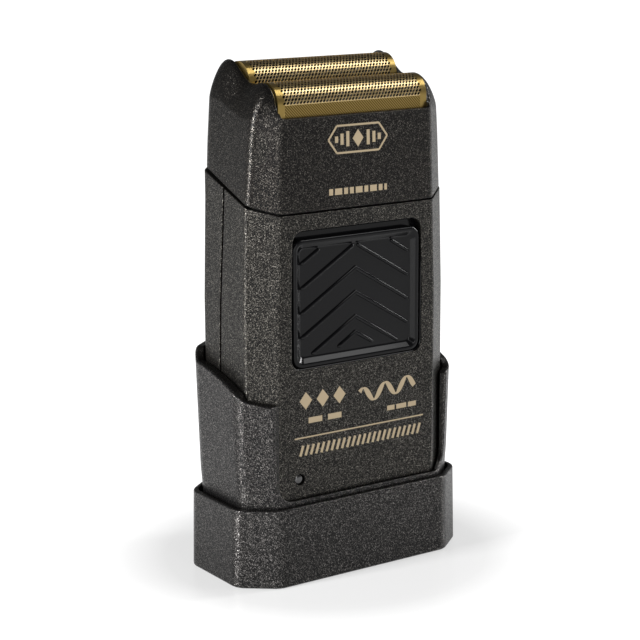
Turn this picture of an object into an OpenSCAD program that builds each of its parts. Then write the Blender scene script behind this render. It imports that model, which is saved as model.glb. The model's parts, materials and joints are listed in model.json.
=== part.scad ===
// Foil shaver with two foils, standing in its charging stand.
// Millimetres. Origin: centre of the stand's footprint, on the table top.
// X to the right, Y to the rear, Z up. The foils are at the top.

/* [Stand] */
// Width of the stand's foot
stand_w = 71; // [70:0.5:72]
// Depth of the stand's foot
stand_d = 36.4; // [36.4:0.2:38]
// Height of the stand's foot
stand_h = 20.8; // [20:0.2:21.4]
// Half width of the pocket's front cut-out
cutout_hw = 28; // [26:0.5:28.4]
// Height of the cut-out's lower lip
cutout_z = 22; // [21.6:0.1:24]
// Gap between the pocket and the shaver
pocket_gap = 0.4; // [0.3:0.05:0.45]

/* [Shaver body] */
// Width of the shaver
body_w = 62; // [61:0.5:62]
// Depth of the shaver
body_d = 30.3; // [30:0.1:30.3]
// Width of the flat front face
face_w = 48.4; // [47:0.2:49]
// Height of the shaver's underside above the table
foot_z = 14; // [14:0.1:14.3]
// Height of the head seam at the front
seam_z = 95.6; // [95.4:0.1:96]
// Slope of the head seam, in degrees, rising to the rear
seam_angle = 20.8; // [20:0.2:21]
// Wall thickness of the shells
wall = 1.8; // [1.6:0.1:1.9]

/* [Thumb slider] */
// Half width of the slider's window
window_hw = 20.4; // [20:0.2:20.6]
// Height of the window's lower edge
window_z0 = 55.6; // [55.2:0.2:56]
// Height of the window's upper edge
window_z1 = 91.2; // [91:0.1:91.4]
// Travel of the slider
slider_travel = 2; // [1.5:0.1:2]

/* [Head] */
// Height of the front panel's upper edge
panel_z = 119.3; // [119:0.1:119.6]
// Height of the rear panel's upper edge
rear_panel_z = 124; // [123:0.2:125]
// Outer radius of each foil's arch
foil_r = 5.3; // [5.3:0.02:5.32]
// Half length of the foils
foil_hl = 22; // [21.9:0.05:22.05]
// Height of the front foil's crest
front_crest_z = 127.8; // [127.4:0.1:128]
// Height of the rear foil's crest
rear_crest_z = 132.2; // [131.8:0.1:132.4]

/* [Drive] */
// Travel of each cutter to either side
stroke = 1.2; // [0.8:0.1:1.2]
// Number of blades on each cutter
blade_count = 32; // [24:1:34]
// Radius of the battery cell
cell_r = 7; // [6.8:0.1:7.05]
// Length of the battery cell
cell_l = 50; // [48:0.5:50]

/* [Hidden] */
$fn = 48;
eps = 0.01;
side = [-1, 1];

// Colours
graphite = [0.17, 0.165, 0.16];
gloss_black = [0.07, 0.07, 0.08];
gold = [0.72, 0.56, 0.24];
steel = [0.72, 0.73, 0.75];
brass = [0.78, 0.62, 0.3];
board_green = [0.1, 0.32, 0.2];
dark_plastic = [0.12, 0.12, 0.13];

// The flat faces are joined by bevels at this angle, in plan
bevel = 38;

// Body outline: half width, half depth, half width of the flat face, corner radius
corner_r = 1.8;
body_sec = [body_w / 2, body_d / 2, face_w / 2];
waist_z = 72;
top_sec = [body_w / 2 - 0.7, body_d / 2, face_w / 2 - 0.8];
top_z = 98;
seam_y = 1.6;
seam_tilt = 2.3;
seam_gap = 0.3;

// Head outline at three heights
head_corner_r = 2.4;
head_low = [body_w / 2 - 0.6, body_d / 2, face_w / 2 - 0.7];
head_mid = [body_w / 2 - 1.9, body_d / 2 - 0.15, face_w / 2 - 1.1];
head_top = [body_w / 2 - 3.8, body_d / 2 - 0.55, face_w / 2 - 1.6];
head_low_z = 92;
head_mid_z = 112;
head_top_z = 133;
ear_x = foil_hl + 0.9;
ceiling_z = 113.2;
lip_z = 118;
lip_y = -13.5;
front_cavity_y = -14;
rear_cavity_y = 13.2;

// Foils and cutters
foil_t = 0.15;
front_y = -8;
rear_y = 4.75;
front_arch_z = front_crest_z - foil_r;
rear_arch_z = rear_crest_z - foil_r;
foil_gap = 0.05;
blade_r = foil_r - foil_t - 0.15;
blade_core_r = 3.35;
blade_t = 0.35;
cutter_hl = 19.4;
frame_low_z = 111;
frame_top_z = 117.8;

// Stand
foot_sec = [stand_w / 2, stand_d / 2, 26.4];
foot_top_sec = [stand_w / 2 - 0.4, stand_d / 2 - 0.2, 26.2];
foot_gap_z = 0.4;
pocket_sec = [body_w / 2 + pocket_gap, body_d / 2 + pocket_gap, face_w / 2 + 0.2];
cradle_sec = [body_w / 2 + 1.9, 16.65, 25.2];
cradle_top_sec = [body_w / 2 + 3.3, 17, 26.2];
well_sec = [stand_w / 2 - 1.6, stand_d / 2 - 1.3, 25.37];
cradle_top_z = 61;
cutout_x = 1.5;
cutout_r = 5.5;
foot_r = 5;
cradle_r = 6;
well_r = 3.4;
floor_z0 = 12;
floor_z1 = 13.6;
plate_z0 = 0.5;
plate_z1 = 2.2;
rim_z = 49.8;
rim_slope = 0.5;
rim_y = -10;
rim_reach = 19;
rim_step = 3.2;
rim_step_y = 8.6;
boss_x = 17;
boss_y = 8;
boss_r = 2.6;
foot_x = 26;
foot_y = 6.5;
rubber_r = 3.5;
rest_x = 20;
rest_hl = 8;
hatch_hw = 5.8;

// Charging contacts
contact_x = 5;
pin_r = 0.9;
pin_tip_z = 15.7;

// Charging socket at the rear of the stand
socket_z = 7;
socket_mouth_r = 4;
socket_mouth_l = 3;
socket_cavity_r = 2.8;
socket_face_y = stand_d / 2 - 0.2;
socket_front_y = 6;

// Switch and window
tray_y = -12.4;
tray_t = 1.2;
window_r = 3;
slider_hw = window_hw - 0.3;
slider_z0 = window_z0 + 0.4;
slider_z1 = window_z1 - 0.3 - slider_travel;
slider_back_y = tray_y - 0.2;
slider_rim_y = -14.9;
slider_floor_y = -13.7;
chevron_pitch = 6.35;
chevron_slope = 31;
chevron_w = 2.6;
slider_rim_w = 2.8;
knob_z0 = 70;
knob_z1 = 72.4;
led_pos = [-18.3, 27];
led_r = 1.45;

// Inner structure
plate_y0 = -7.2;
plate_y1 = -5.9;
board_y1 = plate_y0 - 0.05;
board_y0 = board_y1 - 1.2;
plate_hw = 24.9;
cap_screw_x = 18;
deck_screw_x = 22;
screw_head_r = 2.1;
screw_r = 1;
cell_y = 2.2;
cell_z = 29.5;
motor_y = 2;
motor_r = 10.2;
motor_flat = 7.6;
motor_z0 = 58;
motor_z1 = 85.2;
motor_wall = 0.9;
armature_r = 6.4;
chassis_top_z = 87;
chassis_rear_y = 11;
shaft_r = 1;
cam_r = 2.6;
slot_hx = cam_r + 2 * stroke + 0.1;
slot_hy = cam_r + stroke + 0.2;
plate_hx = slot_hx + 1.6;
lower_z = 88.3;
upper_z = 90.7;
bridge_t = 1.6;
post_x = 10.5;
post_r = 1.2;
arm_hw = 1.5;
arm_hl = 17.5;
guide_x0 = 13.9;
guide_x1 = 16.9;
deck_z0 = 93.5;
deck_z1 = 95.3;
shoulder_drop = 18.5;
block_drop = 10.5;
post_drop = 5.5;
spring_seat = 2;
spring_seat_r = 2.9;
spring_r = 2.1;
spring_wire_r = 0.25;
spring_turns = 5;

// One rounded corner between two edges whose directions are t0 and t1 degrees
function corner(p, t0, t1, r, n = 4) =
    let (m = (t0 + t1) / 2 - 90, c = p - r / cos((t1 - t0) / 2) * [cos(m), sin(m)])
    [for (i = [0:n]) let (a = t0 - 90 + (t1 - t0) * i / n) c + r * [cos(a), sin(a)]];

// Bevelled outline with rounded corners, moved inwards by d
function outline(s, r, d = 0) =
    let (hx = s[0] - d, hy = s[1] - d, fx = s[2] - d * tan(bevel / 2))
    let (sy = hy - (hx - fx) * tan(bevel), q = max(r - d, 0.4), b = bevel)
    concat(
        corner([fx, -hy], 0, b, q), corner([hx, -sy], b, 90, q),
        corner([hx, sy], 90, 180 - b, q), corner([fx, hy], 180 - b, 180, q),
        corner([-fx, hy], 180, 180 + b, q), corner([-hx, sy], 180 + b, 270, q),
        corner([-hx, -sy], 270, 360 - b, q), corner([-fx, -hy], 360 - b, 360, q));

// Smooth step from a to b as t goes from 0 to 1
function ease(a, b, t) = a + (b - a) * (1 - cos(180 * t)) / 2;

// Height of the pocket's rim at depth y
function rim(y) = y < rim_y
    ? rim_z + rim_slope * (y - rim_y) + 0.0167 * pow(y - rim_y, 2)
    : let (u = min(y - rim_y, rim_reach), t = min(max((y - rim_step_y) / 4.4, 0), 1))
    rim_z + rim_slope * u - 0.01 * u * u + ease(0, rim_step, t);

// Side view of the head's ears, from the front panel's edge over both humps to the rear
ear_steps = 10;
ear_line = concat(
    [[-16, panel_z], [-15, panel_z]],
    [for (i = [1:3]) [-15 + 1.9 * sin(30 * i), panel_z + 1.9 * (1 - cos(30 * i))]],
    [for (i = [1:ear_steps]) let (a = 180 - 9 * i)
        [-7.5 + 5.6 * cos(a), front_crest_z - 6.8 + 6.7 * sin(a)]],
    [for (i = [1:4]) [-7.5 + 4.5 * i / 4, ease(front_crest_z - 0.1, front_crest_z - 0.6, i / 4)]],
    [for (i = [1:ear_steps]) let (t = i / ear_steps)
        [-3 + 11 * t, ease(front_crest_z - 0.6, rear_crest_z + 0.3, t)]],
    [for (i = [1:ear_steps]) let (a = 90 - 9 * i)
        [8 + 6.2 * cos(a), rear_crest_z - 6.2 + 6.5 * sin(a)]],
    [[14.4, rear_panel_z + 0.6], [15, rear_panel_z], [16, rear_panel_z]]);

// Box from its low corner to its high corner
module block(p, q) {
    translate(p) cube(q - p);
}

// Cylinder along Z from z0 to z1
module rod(x, y, z0, z1, r) {
    translate([x, y, z0]) cylinder(r = r, h = z1 - z0);
}

// Straight prism of an outline
module prism(s, r, z0, z1, d = 0) {
    translate([0, 0, z0]) linear_extrude(z1 - z0) polygon(outline(s, r, d));
}

// Prism that blends from one outline to another
module blend(s0, s1, r, z0, z1, d = 0) {
    hull() {
        prism(s0, r, z0, z0 + eps, d);
        prism(s1, r, z1 - eps, z1, d);
    }
}

// Outline drawn in the XZ plane and extruded from y0 to y1
module front_extrude(y0, y1) {
    translate([0, y1, 0]) rotate([90, 0, 0]) linear_extrude(y1 - y0) children();
}

// Outline drawn in the YZ plane and extruded to both sides of x = 0
module side_extrude(hx) {
    translate([-hx, 0, 0]) rotate([90, 0, 90]) linear_extrude(2 * hx) children();
}

// Rectangle with rounded corners in the XZ plane
module round_rect(hx, z0, z1, r) {
    translate([-hx, z0 + r]) square([2 * hx, z1 - z0 - 2 * r]);
    translate([-hx + r, z0]) square([2 * (hx - r), z1 - z0]);
    for (sx = side) for (z = [z0 + r, z1 - r]) translate([sx * (hx - r), z]) circle(r);
}

// Everything above the sloping head seam, raised by dz
module above_seam(dz) {
    translate([0, -body_d / 2, seam_z + dz]) rotate([seam_angle, 0, 0])
        translate([-60, -40, 0]) cube([120, 120, 80]);
}

// Solid of the shaver body, moved inwards by d
module body_solid(d) {
    prism(body_sec, corner_r, foot_z + 2.35, waist_z, d);
    blend(body_sec, top_sec, corner_r, waist_z, top_z, d);
    prism(top_sec, corner_r, top_z, top_z + 12, d);
}

// Solid of the head, moved inwards by d
module head_solid(d, z1) {
    intersection() {
        hull() {
            prism(head_low, head_corner_r, head_low_z, head_low_z + eps, d);
            prism(head_mid, head_corner_r, head_mid_z, head_mid_z + eps, d);
            prism(head_top, head_corner_r, head_top_z, head_top_z + eps, d);
        }
        block([-40, -20, head_low_z - 1], [40, 20, z1]);
    }
}

// Half space in front of the joint between the two shells, moved forwards by g
module front_half(g) {
    translate([0, seam_y - g, waist_z]) rotate([seam_tilt, 0, 0])
        translate([-40, -40, -80]) cube([80, 40, 160]);
}

// ---------------------------------------------------------------- stand

module stand_base() {
    color(graphite) difference() {
        blend(foot_sec, foot_top_sec, foot_r, foot_gap_z, stand_h);
        prism(well_sec, well_r, -1, stand_h + 1);
        block([-hatch_hw, 10, socket_z - 5], [hatch_hw, 20, socket_z + 5]);
    }
}

module stand_cradle() {
    color(graphite) {
        difference() {
            intersection() {
                blend(cradle_sec, cradle_top_sec, cradle_r, floor_z0, cradle_top_z);
                side_extrude(40) polygon(concat(
                    [[20, floor_z0 - 1], [-20, floor_z0 - 1]],
                    [for (y = [-20:1:20]) [y, rim(y)]]));
            }
            prism(pocket_sec, corner_r, floor_z1, cradle_top_z + 1);
            front_extrude(-20, -11) translate([cutout_x, 0]) round_rect(cutout_hw, cutout_z, 80, cutout_r);
            for (sx = side) rod(sx * contact_x, 0, floor_z0 - 1, floor_z1 + 1, pin_r + 0.3);
        }
        difference() {
            for (sx = side) for (sy = side)
                rod(sx * boss_x, sy * boss_y, plate_z1, floor_z0, boss_r);
            for (sx = side) for (sy = side)
                rod(sx * boss_x, sy * boss_y, plate_z1 - 1, floor_z0 - 2, 1.05);
        }
        // Low ribs that the shaver stands on
        for (sx = side)
            block([sx * rest_x - 0.8, -rest_hl, floor_z1], [sx * rest_x + 0.8, rest_hl, foot_z - 0.1]);
    }
}

module stand_bottom_plate() {
    color(dark_plastic) difference() {
        prism(well_sec, well_r, plate_z0, plate_z1, 0.15);
        for (sx = side) for (sy = side) {
            rod(sx * boss_x, sy * boss_y, plate_z0 - 1, plate_z1 + 1, 1.3);
            rod(sx * boss_x, sy * boss_y, plate_z0 - 1, plate_z0 + 1, 2.3);
            rod(sx * foot_x, sy * foot_y, plate_z0 - 1, plate_z0 + 0.7, rubber_r + 0.1);
        }
    }
}

module stand_feet() {
    color([0.08, 0.08, 0.08]) for (sx = side) for (sy = side)
        rod(sx * foot_x, sy * foot_y, 0, plate_z0 + 0.65, rubber_r);
}

module stand_screws() {
    color(steel) for (sx = side) for (sy = side) difference() {
        union() {
            rod(sx * boss_x, sy * boss_y, plate_z0 + 0.2, plate_z0 + 0.95, screw_head_r);
            rod(sx * boss_x, sy * boss_y, plate_z0 + 0.9, floor_z0 - 2.5, screw_r);
        }
        block([sx * boss_x - 1.4, sy * boss_y - 0.25, 0], [sx * boss_x + 1.4, sy * boss_y + 0.25, 1]);
    }
}

module stand_contact_block() {
    color(dark_plastic) difference() {
        block([-9, -5, 5.6], [9, 5, floor_z0 - 0.05]);
        for (sx = side) rod(sx * contact_x, 0, 5, floor_z0 + 1, pin_r + 0.05);
    }
}

module stand_contact_pins() {
    color(brass) for (sx = side) {
        rod(sx * contact_x, 0, 5.6, pin_tip_z - 0.5, pin_r);
        rod(sx * contact_x, 0, pin_tip_z - 0.5, pin_tip_z, pin_r - 0.3);
    }
}

module stand_circuit_board() {
    color(board_green) block([-14, -12, 4.1], [14, 5.4, 5.5]);
}

module stand_dc_socket() {
    color(dark_plastic) difference() {
        block([-5.6, socket_front_y, plate_z1 + 0.1], [5.6, socket_face_y, floor_z0 - 0.3]);
        translate([0, socket_front_y + 1.5, socket_z]) rotate([-90, 0, 0])
            cylinder(r = socket_cavity_r, h = 20);
        translate([0, socket_face_y - socket_mouth_l, socket_z]) rotate([-90, 0, 0])
            cylinder(r = socket_mouth_r, h = 20);
    }
}

module stand_socket_pin() {
    color(steel) translate([0, socket_front_y + 1.6, socket_z]) rotate([-90, 0, 0])
        cylinder(r = 1, h = socket_face_y - socket_mouth_l - 0.5 - socket_front_y - 1.6);
}

// ---------------------------------------------------------------- shaver body

module front_shell() {
    color(graphite) difference() {
        union() {
            difference() {
                body_solid(0);
                body_solid(wall);
            }
            block([-window_hw - 1.4, -14, window_z0 - 1.4],
                [window_hw + 1.4, tray_y + tray_t, window_z1 + 1.4]);
        }
        difference() {
            block([-50, -50, 0], [50, 50, 140]);
            front_half(0.08);
        }
        above_seam(-seam_gap / 2);
        front_extrude(-20, tray_y) round_rect(window_hw, window_z0, window_z1, window_r);
        block([-2.6, -20, knob_z0 - 1.6], [2.6, 0, knob_z1 + 1.6 + slider_travel]);
        translate([led_pos[0], -20, led_pos[1]]) rotate([-90, 0, 0]) cylinder(r = led_r + 0.05, h = 10);
    }
}

module rear_shell() {
    color(graphite) difference() {
        body_solid(0);
        body_solid(wall);
        front_half(-0.08);
        above_seam(-seam_gap / 2);
    }
}

module bottom_cap() {
    color(graphite) difference() {
        union() {
            blend([for (v = body_sec) v - 1], body_sec, corner_r, foot_z, foot_z + 1);
            prism(body_sec, corner_r, foot_z + 1, foot_z + 2.2);
            prism(body_sec, corner_r, foot_z + 2, foot_z + 5, wall + 0.15);
        }
        prism(body_sec, corner_r, foot_z + 3.5, foot_z + 6, wall + 1.6);
        for (sx = side) {
            rod(sx * contact_x, 0, foot_z - 1, foot_z + 3, pin_r + 0.6);
            rod(sx * contact_x, 0, foot_z + 2, foot_z + 6, 2.4);
            rod(sx * cap_screw_x, 0, foot_z - 1, foot_z + 6, 1.2);
            rod(sx * cap_screw_x, 0, foot_z - 1, foot_z + 2, 2.4);
        }
    }
}

module charge_contacts() {
    color(brass) for (sx = side) {
        rod(sx * contact_x, 0, foot_z + 2.05, foot_z + 3.2, 2.3);
        rod(sx * contact_x, 0, foot_z + 3.2, foot_z + 5.2, 0.7);
    }
}

module cap_screws() {
    color(steel) for (sx = side) difference() {
        union() {
            rod(sx * cap_screw_x, 0, foot_z + 0.6, foot_z + 1.95, screw_head_r + 0.1);
            rod(sx * cap_screw_x, 0, foot_z + 1.9, foot_z + 7.6, screw_r);
        }
        block([sx * cap_screw_x - 1.5, -0.25, foot_z], [sx * cap_screw_x + 1.5, 0.25, foot_z + 1.1]);
    }
}

module chassis() {
    color([0.22, 0.22, 0.23]) {
        difference() {
            union() {
                block([-plate_hw, plate_y0, foot_z + 5.5], [plate_hw, plate_y1, chassis_top_z]);
                block([-plate_hw, plate_y0, foot_z + 5.5], [plate_hw, 9, foot_z + 7.8]);
                for (sx = side)
                    block([sx * cap_screw_x - 1.5, plate_y1, foot_z + 7],
                        [sx * cap_screw_x + 1.5, chassis_rear_y, cell_z + 4]);
                block([-12, plate_y1, 50.5], [12, chassis_rear_y, 52.5]);
                block([-12.5, plate_y1, motor_z1 + 0.2], [12.5, chassis_rear_y, chassis_top_z]);
                for (sx = side) rod(sx * deck_screw_x, 0, 70, deck_z0 - 0.05, 2.6);
                for (sx = side)
                    block([sx * deck_screw_x - 0.8, plate_y0, 70],
                        [sx * deck_screw_x + 0.8, 0, chassis_top_z]);
            }
            translate([-40, cell_y, cell_z]) rotate([0, 90, 0]) cylinder(r = cell_r + 0.1, h = 80);
            rod(0, motor_y, motor_z1 - 1, 88, 3.3);
            for (sx = side) {
                rod(sx * cap_screw_x, 0, foot_z + 5, foot_z + 9, 1.05);
                rod(sx * deck_screw_x, 0, 85, deck_z0 + 1, 1.05);
            }
        }
    }
}

module battery_cell() {
    color([0.16, 0.36, 0.55]) translate([-cell_l / 2, cell_y, cell_z]) rotate([0, 90, 0])
        cylinder(r = cell_r, h = cell_l);
}

module battery_tabs() {
    color(steel) for (sx = side) {
        x = sx * (cell_l / 2 + 0.35);
        block([x - 0.2, plate_y0, cell_z - 2], [x + 0.2, cell_y + 3, cell_z + 2]);
    }
}

module circuit_board() {
    color(board_green) block([-22, board_y0, foot_z + 8], [22, board_y1, 84]);
}

module board_parts() {
    color([0.1, 0.1, 0.1]) {
        block([-6, -10.4, 40], [4, board_y0, 49]);
        block([8, -10.8, 32], [16, board_y0, 38]);
        block([9, -10.2, 44], [13, board_y0, 52]);
        translate([12, board_y0, 27]) rotate([90, 0, 0]) cylinder(r = 2.5, h = 3.4);
        translate([led_pos[0], board_y0, led_pos[1]]) rotate([90, 0, 0])
            cylinder(r = 1.2, h = 3.6);
    }
}

module switch_housing() {
    color([0.6, 0.62, 0.64]) difference() {
        block([-4.5, -10.95, 66], [4.5, board_y0, 78]);
        block([-1.6, -12, knob_z0 - 0.3], [1.6, -9.2, knob_z1 + 0.3 + slider_travel]);
    }
}

module led_lens() {
    color(gloss_black) translate([led_pos[0], -15.05, led_pos[1]]) rotate([-90, 0, 0])
        cylinder(r = led_r, h = 1.9);
}

module motor_can() {
    color(steel) translate([0, motor_y, 0]) {
        intersection() {
            difference() {
                rod(0, 0, motor_z0, motor_z1, motor_r);
                rod(0, 0, motor_z0 - 1, motor_z1 - 1, motor_r - motor_wall);
                rod(0, 0, motor_z0, motor_z1 + 1, shaft_r + 0.05);
            }
            block([-12, -motor_flat, motor_z0 - 1], [12, motor_flat, motor_z1 + 1]);
        }
        for (sy = side) difference() {
            block([-6.7, sy * motor_flat - 0.4 - sy * 0.4, motor_z0],
                [6.7, sy * motor_flat + 0.4 - sy * 0.4, motor_z1]);
            rod(0, 0, motor_z0 - 1, motor_z1 + 1, armature_r + 0.2);
        }
        difference() {
            rod(0, 0, motor_z1 - eps, motor_z1 + 1.5, 3);
            rod(0, 0, motor_z0, motor_z1 + 3, shaft_r + 0.05);
        }
    }
}

module motor_end_cap() {
    color([0.85, 0.83, 0.78]) translate([0, motor_y, 0]) difference() {
        union() {
            intersection() {
                rod(0, 0, motor_z0 - 2.5, motor_z0 - 0.05, motor_r);
                block([-12, -motor_flat, motor_z0 - 4], [12, motor_flat, motor_z0]);
            }
            rod(0, 0, motor_z0 - 4.5, motor_z0 - 2.4, 3);
        }
        rod(0, 0, motor_z0 - 4, motor_z0, shaft_r + 0.05);
    }
}

module motor_terminals() {
    color(brass) for (sx = side) translate([sx * 7, motor_y, 0])
        block([-1, -0.2, motor_z0 - 5], [1, 0.2, motor_z0 - 2.55]);
}

module motor_magnets() {
    color([0.25, 0.25, 0.26]) translate([0, motor_y, 0]) for (sx = side) intersection() {
        difference() {
            rod(0, 0, motor_z0 + 3, motor_z1 - 4, motor_r - motor_wall - 0.05);
            rod(0, 0, motor_z0 + 2, motor_z1 - 3, armature_r + 0.5);
        }
        block([min(sx * 5, sx * 12), -6, motor_z0], [max(sx * 5, sx * 12), 6, motor_z1]);
    }
}

// Slotted end blocks that carry the two drive bridges
module drive_guide() {
    color([0.9, 0.9, 0.88]) difference() {
        union() {
            block([-guide_x1, -10.5, 87.05], [guide_x1, 7.5, 87.85]);
            for (sx = side)
                block([sx * (guide_x0 + guide_x1) / 2 - 1.5, -10.5, 87.8],
                    [sx * (guide_x0 + guide_x1) / 2 + 1.5, 7.5, deck_z0 - 0.1]);
        }
        rod(0, motor_y, 86, 89, 4.2);
        block([-20, front_y - arm_hw - 0.1, upper_z - 0.1],
            [20, front_y + arm_hw + 0.1, upper_z + bridge_t + 0.1]);
        block([-20, rear_y - arm_hw - 0.1, lower_z - 0.1],
            [20, rear_y + arm_hw + 0.1, lower_z + bridge_t + 0.1]);
    }
}

module head_deck() {
    color(dark_plastic) difference() {
        union() {
            prism(top_sec, corner_r, deck_z0, deck_z1, wall + 0.9);
            difference() {
                head_solid(wall + 0.4, head_top_z);
                head_solid(wall + 1.7, head_top_z + 1);
                block([-40, -40, 80], [40, 40, deck_z1 - eps]);
            }
        }
        above_seam(3);
        for (y = [front_y, rear_y]) for (sx = side) {
            block([sx * post_x - stroke - 0.2, y - post_r - 0.3, 90],
                [sx * post_x + stroke + 0.2, y + post_r + 0.3, 97]);
            for (dx = side) rod(sx * post_x + dx * (stroke + 0.2), y, 90, 97, post_r + 0.3);
        }
        for (sx = side) rod(sx * deck_screw_x, 0, 90, 100, 1.2);
    }
}

module deck_seal() {
    color([0.2, 0.2, 0.2]) difference() {
        prism(top_sec, corner_r, deck_z0 + 0.2, deck_z1 - 0.2, wall + 0.1);
        prism(top_sec, corner_r, deck_z0, deck_z1, wall + 0.85);
    }
}

module deck_screws() {
    color(steel) for (sx = side) difference() {
        union() {
            rod(sx * deck_screw_x, 0, deck_z1 + 0.05, deck_z1 + 1.3, screw_head_r);
            rod(sx * deck_screw_x, 0, 86, deck_z1 + 0.1, screw_r);
        }
        block([sx * deck_screw_x - 1.4, -0.25, deck_z1 + 0.7],
            [sx * deck_screw_x + 1.4, 0.25, deck_z1 + 2]);
    }
}

// ---------------------------------------------------------------- motor rotor

module motor_shaft() {
    color(steel) rod(0, motor_y, motor_z0 - 3.9, upper_z + bridge_t + 0.1, shaft_r);
}

module motor_armature() {
    color([0.62, 0.36, 0.2]) translate([0, motor_y, 0]) difference() {
        rod(0, 0, motor_z0 + 4, motor_z1 - 5, armature_r);
        rod(0, 0, motor_z0, motor_z1, shaft_r + 0.02);
        for (a = [0:120:240]) rotate(a) block([-0.6, 3, motor_z0], [0.6, 8, motor_z1]);
    }
}

// Two discs set to opposite sides of the shaft
module eccentric_cam() {
    color([0.93, 0.93, 0.9]) difference() {
        union() {
            rod(0, motor_y, lower_z - 0.4, upper_z + bridge_t, 1.35);
            rod(0, motor_y + stroke, lower_z, lower_z + bridge_t, cam_r);
            rod(0, motor_y - stroke, upper_z, upper_z + bridge_t, cam_r);
        }
        rod(0, motor_y, lower_z - 1, upper_z + 3, shaft_r + 0.02);
    }
}

// ---------------------------------------------------------------- drive

// Slotted plate, its two arms and the posts that carry a cutter
module drive_bridge(y, z, arch_z) {
    difference() {
        union() {
            block([-plate_hx, min(y - arm_hw, motor_y - 5), z], [plate_hx, motor_y + 5, z + bridge_t]);
            block([-arm_hl, y - arm_hw, z], [arm_hl, y + arm_hw, z + bridge_t]);
        }
        block([-slot_hx, motor_y - slot_hy, z - 1], [slot_hx, motor_y + slot_hy, z + 3]);
    }
    for (sx = side) {
        rod(sx * post_x, y, z + bridge_t - eps, arch_z - post_drop, post_r);
        rod(sx * post_x, y, arch_z - shoulder_drop - 1.5, arch_z - shoulder_drop, spring_seat_r);
    }
}

module front_drive_bridge() {
    color([0.93, 0.93, 0.9]) drive_bridge(front_y, upper_z, front_arch_z);
}

module rear_drive_bridge() {
    color([0.93, 0.93, 0.9]) drive_bridge(rear_y, lower_z, rear_arch_z);
}

// ---------------------------------------------------------------- cutters

module cutter_block(y, arch_z) {
    difference() {
        union() {
            block([-cutter_hl, y - blade_core_r, arch_z - block_drop],
                [cutter_hl, y + blade_core_r, arch_z]);
            translate([-cutter_hl, y, arch_z]) rotate([0, 90, 0])
                cylinder(r = blade_core_r, h = 2 * cutter_hl);
        }
        for (sx = side) {
            rod(sx * post_x, y, arch_z - block_drop - 1, arch_z - 3, post_r + 0.1);
            rod(sx * post_x, y, arch_z - block_drop - 1, arch_z - block_drop + spring_seat, spring_seat_r);
        }
    }
}

// Row of thin arched blades over the block's round back
module blades(y, arch_z) {
    pitch = 2 * (cutter_hl - blade_t) / (blade_count - 1);
    for (i = [0:blade_count - 1])
        translate([-cutter_hl + blade_t / 2 + i * pitch, y, arch_z]) rotate([90, 0, 90])
            linear_extrude(blade_t) difference() {
                union() {
                    circle(blade_r);
                    translate([-blade_r, -1]) square([2 * blade_r, 1]);
                }
                circle(blade_core_r + 0.02);
                translate([-blade_core_r - 0.02, -6]) square([2 * blade_core_r + 0.04, 6]);
                translate([-6, -7]) square([12, 6]);
            }
}

module front_cutter_block() {
    color([0.15, 0.15, 0.16]) cutter_block(front_y, front_arch_z);
}

module rear_cutter_block() {
    color([0.15, 0.15, 0.16]) cutter_block(rear_y, rear_arch_z);
}

module front_blades() {
    color(steel) blades(front_y, front_arch_z);
}

module rear_blades() {
    color(steel) blades(rear_y, rear_arch_z);
}

// Coil spring along Z: mean radius, wire radius, height and turns
module coil(r, w, h, turns) {
    rings = turns * 12;
    points = [for (i = [0:rings]) for (k = [0:5])
        let (a = 30 * i, b = 60 * k, q = r + w * cos(b))
        [q * cos(a), q * sin(a), w + (h - 2 * w) * i / rings + w * sin(b)]];
    sides = [for (i = [0:rings - 1]) for (k = [0:5]) let (n = (k + 1) % 6)
        [6 * i + k, 6 * i + n, 6 * i + 6 + n, 6 * i + 6 + k]];
    ends = [[5, 4, 3, 2, 1, 0], [for (k = [0:5]) 6 * rings + k]];
    polyhedron(points, concat([for (f = sides) [f[3], f[2], f[1], f[0]]],
        [for (f = ends) [for (k = [0:5]) f[5 - k]]]));
}

module cutter_springs(y, arch_z) {
    z0 = arch_z - shoulder_drop + 0.03;
    z1 = arch_z - block_drop + spring_seat - 0.03;
    for (sx = side) translate([sx * post_x, y, z0]) coil(spring_r, spring_wire_r, z1 - z0, spring_turns);
}

module front_springs() {
    color(steel) cutter_springs(front_y, front_arch_z);
}

module rear_springs() {
    color(steel) cutter_springs(rear_y, rear_arch_z);
}

// ---------------------------------------------------------------- head

module head_cover() {
    color(graphite) difference() {
        intersection() {
            head_solid(0, head_top_z);
            side_extrude(40) polygon(concat([[16, 80], [-16, 80]], ear_line));
        }
        head_solid(wall, ceiling_z);
        block([-ear_x, front_cavity_y, 90], [ear_x, rear_cavity_y, lip_z]);
        block([-ear_x, lip_y, lip_z - 1], [ear_x, rear_cavity_y, 140]);
        block([-ear_x, -20, panel_z], [ear_x, 0, 140]);
        block([-ear_x, 0, rear_panel_z], [ear_x, 20, 140]);
        difference() {
            block([-50, -50, 60], [50, 50, 112]);
            above_seam(seam_gap / 2);
        }
    }
}

module foil_frame() {
    color(dark_plastic) difference() {
        union() {
            intersection() {
                head_solid(wall + 0.3, ceiling_z - 0.2);
                block([-40, -20, frame_low_z], [40, 20, 140]);
            }
            block([-ear_x + 0.1, front_cavity_y + 0.05, frame_low_z],
                [ear_x - 0.1, rear_cavity_y - 0.3, frame_top_z]);
            for (sx = side) foil_cheek(sx, front_y, front_arch_z);
            for (sx = side) foil_cheek(sx, rear_y, rear_arch_z);
        }
        foil_window(front_y);
        foil_window(rear_y);
    }
}

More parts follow.
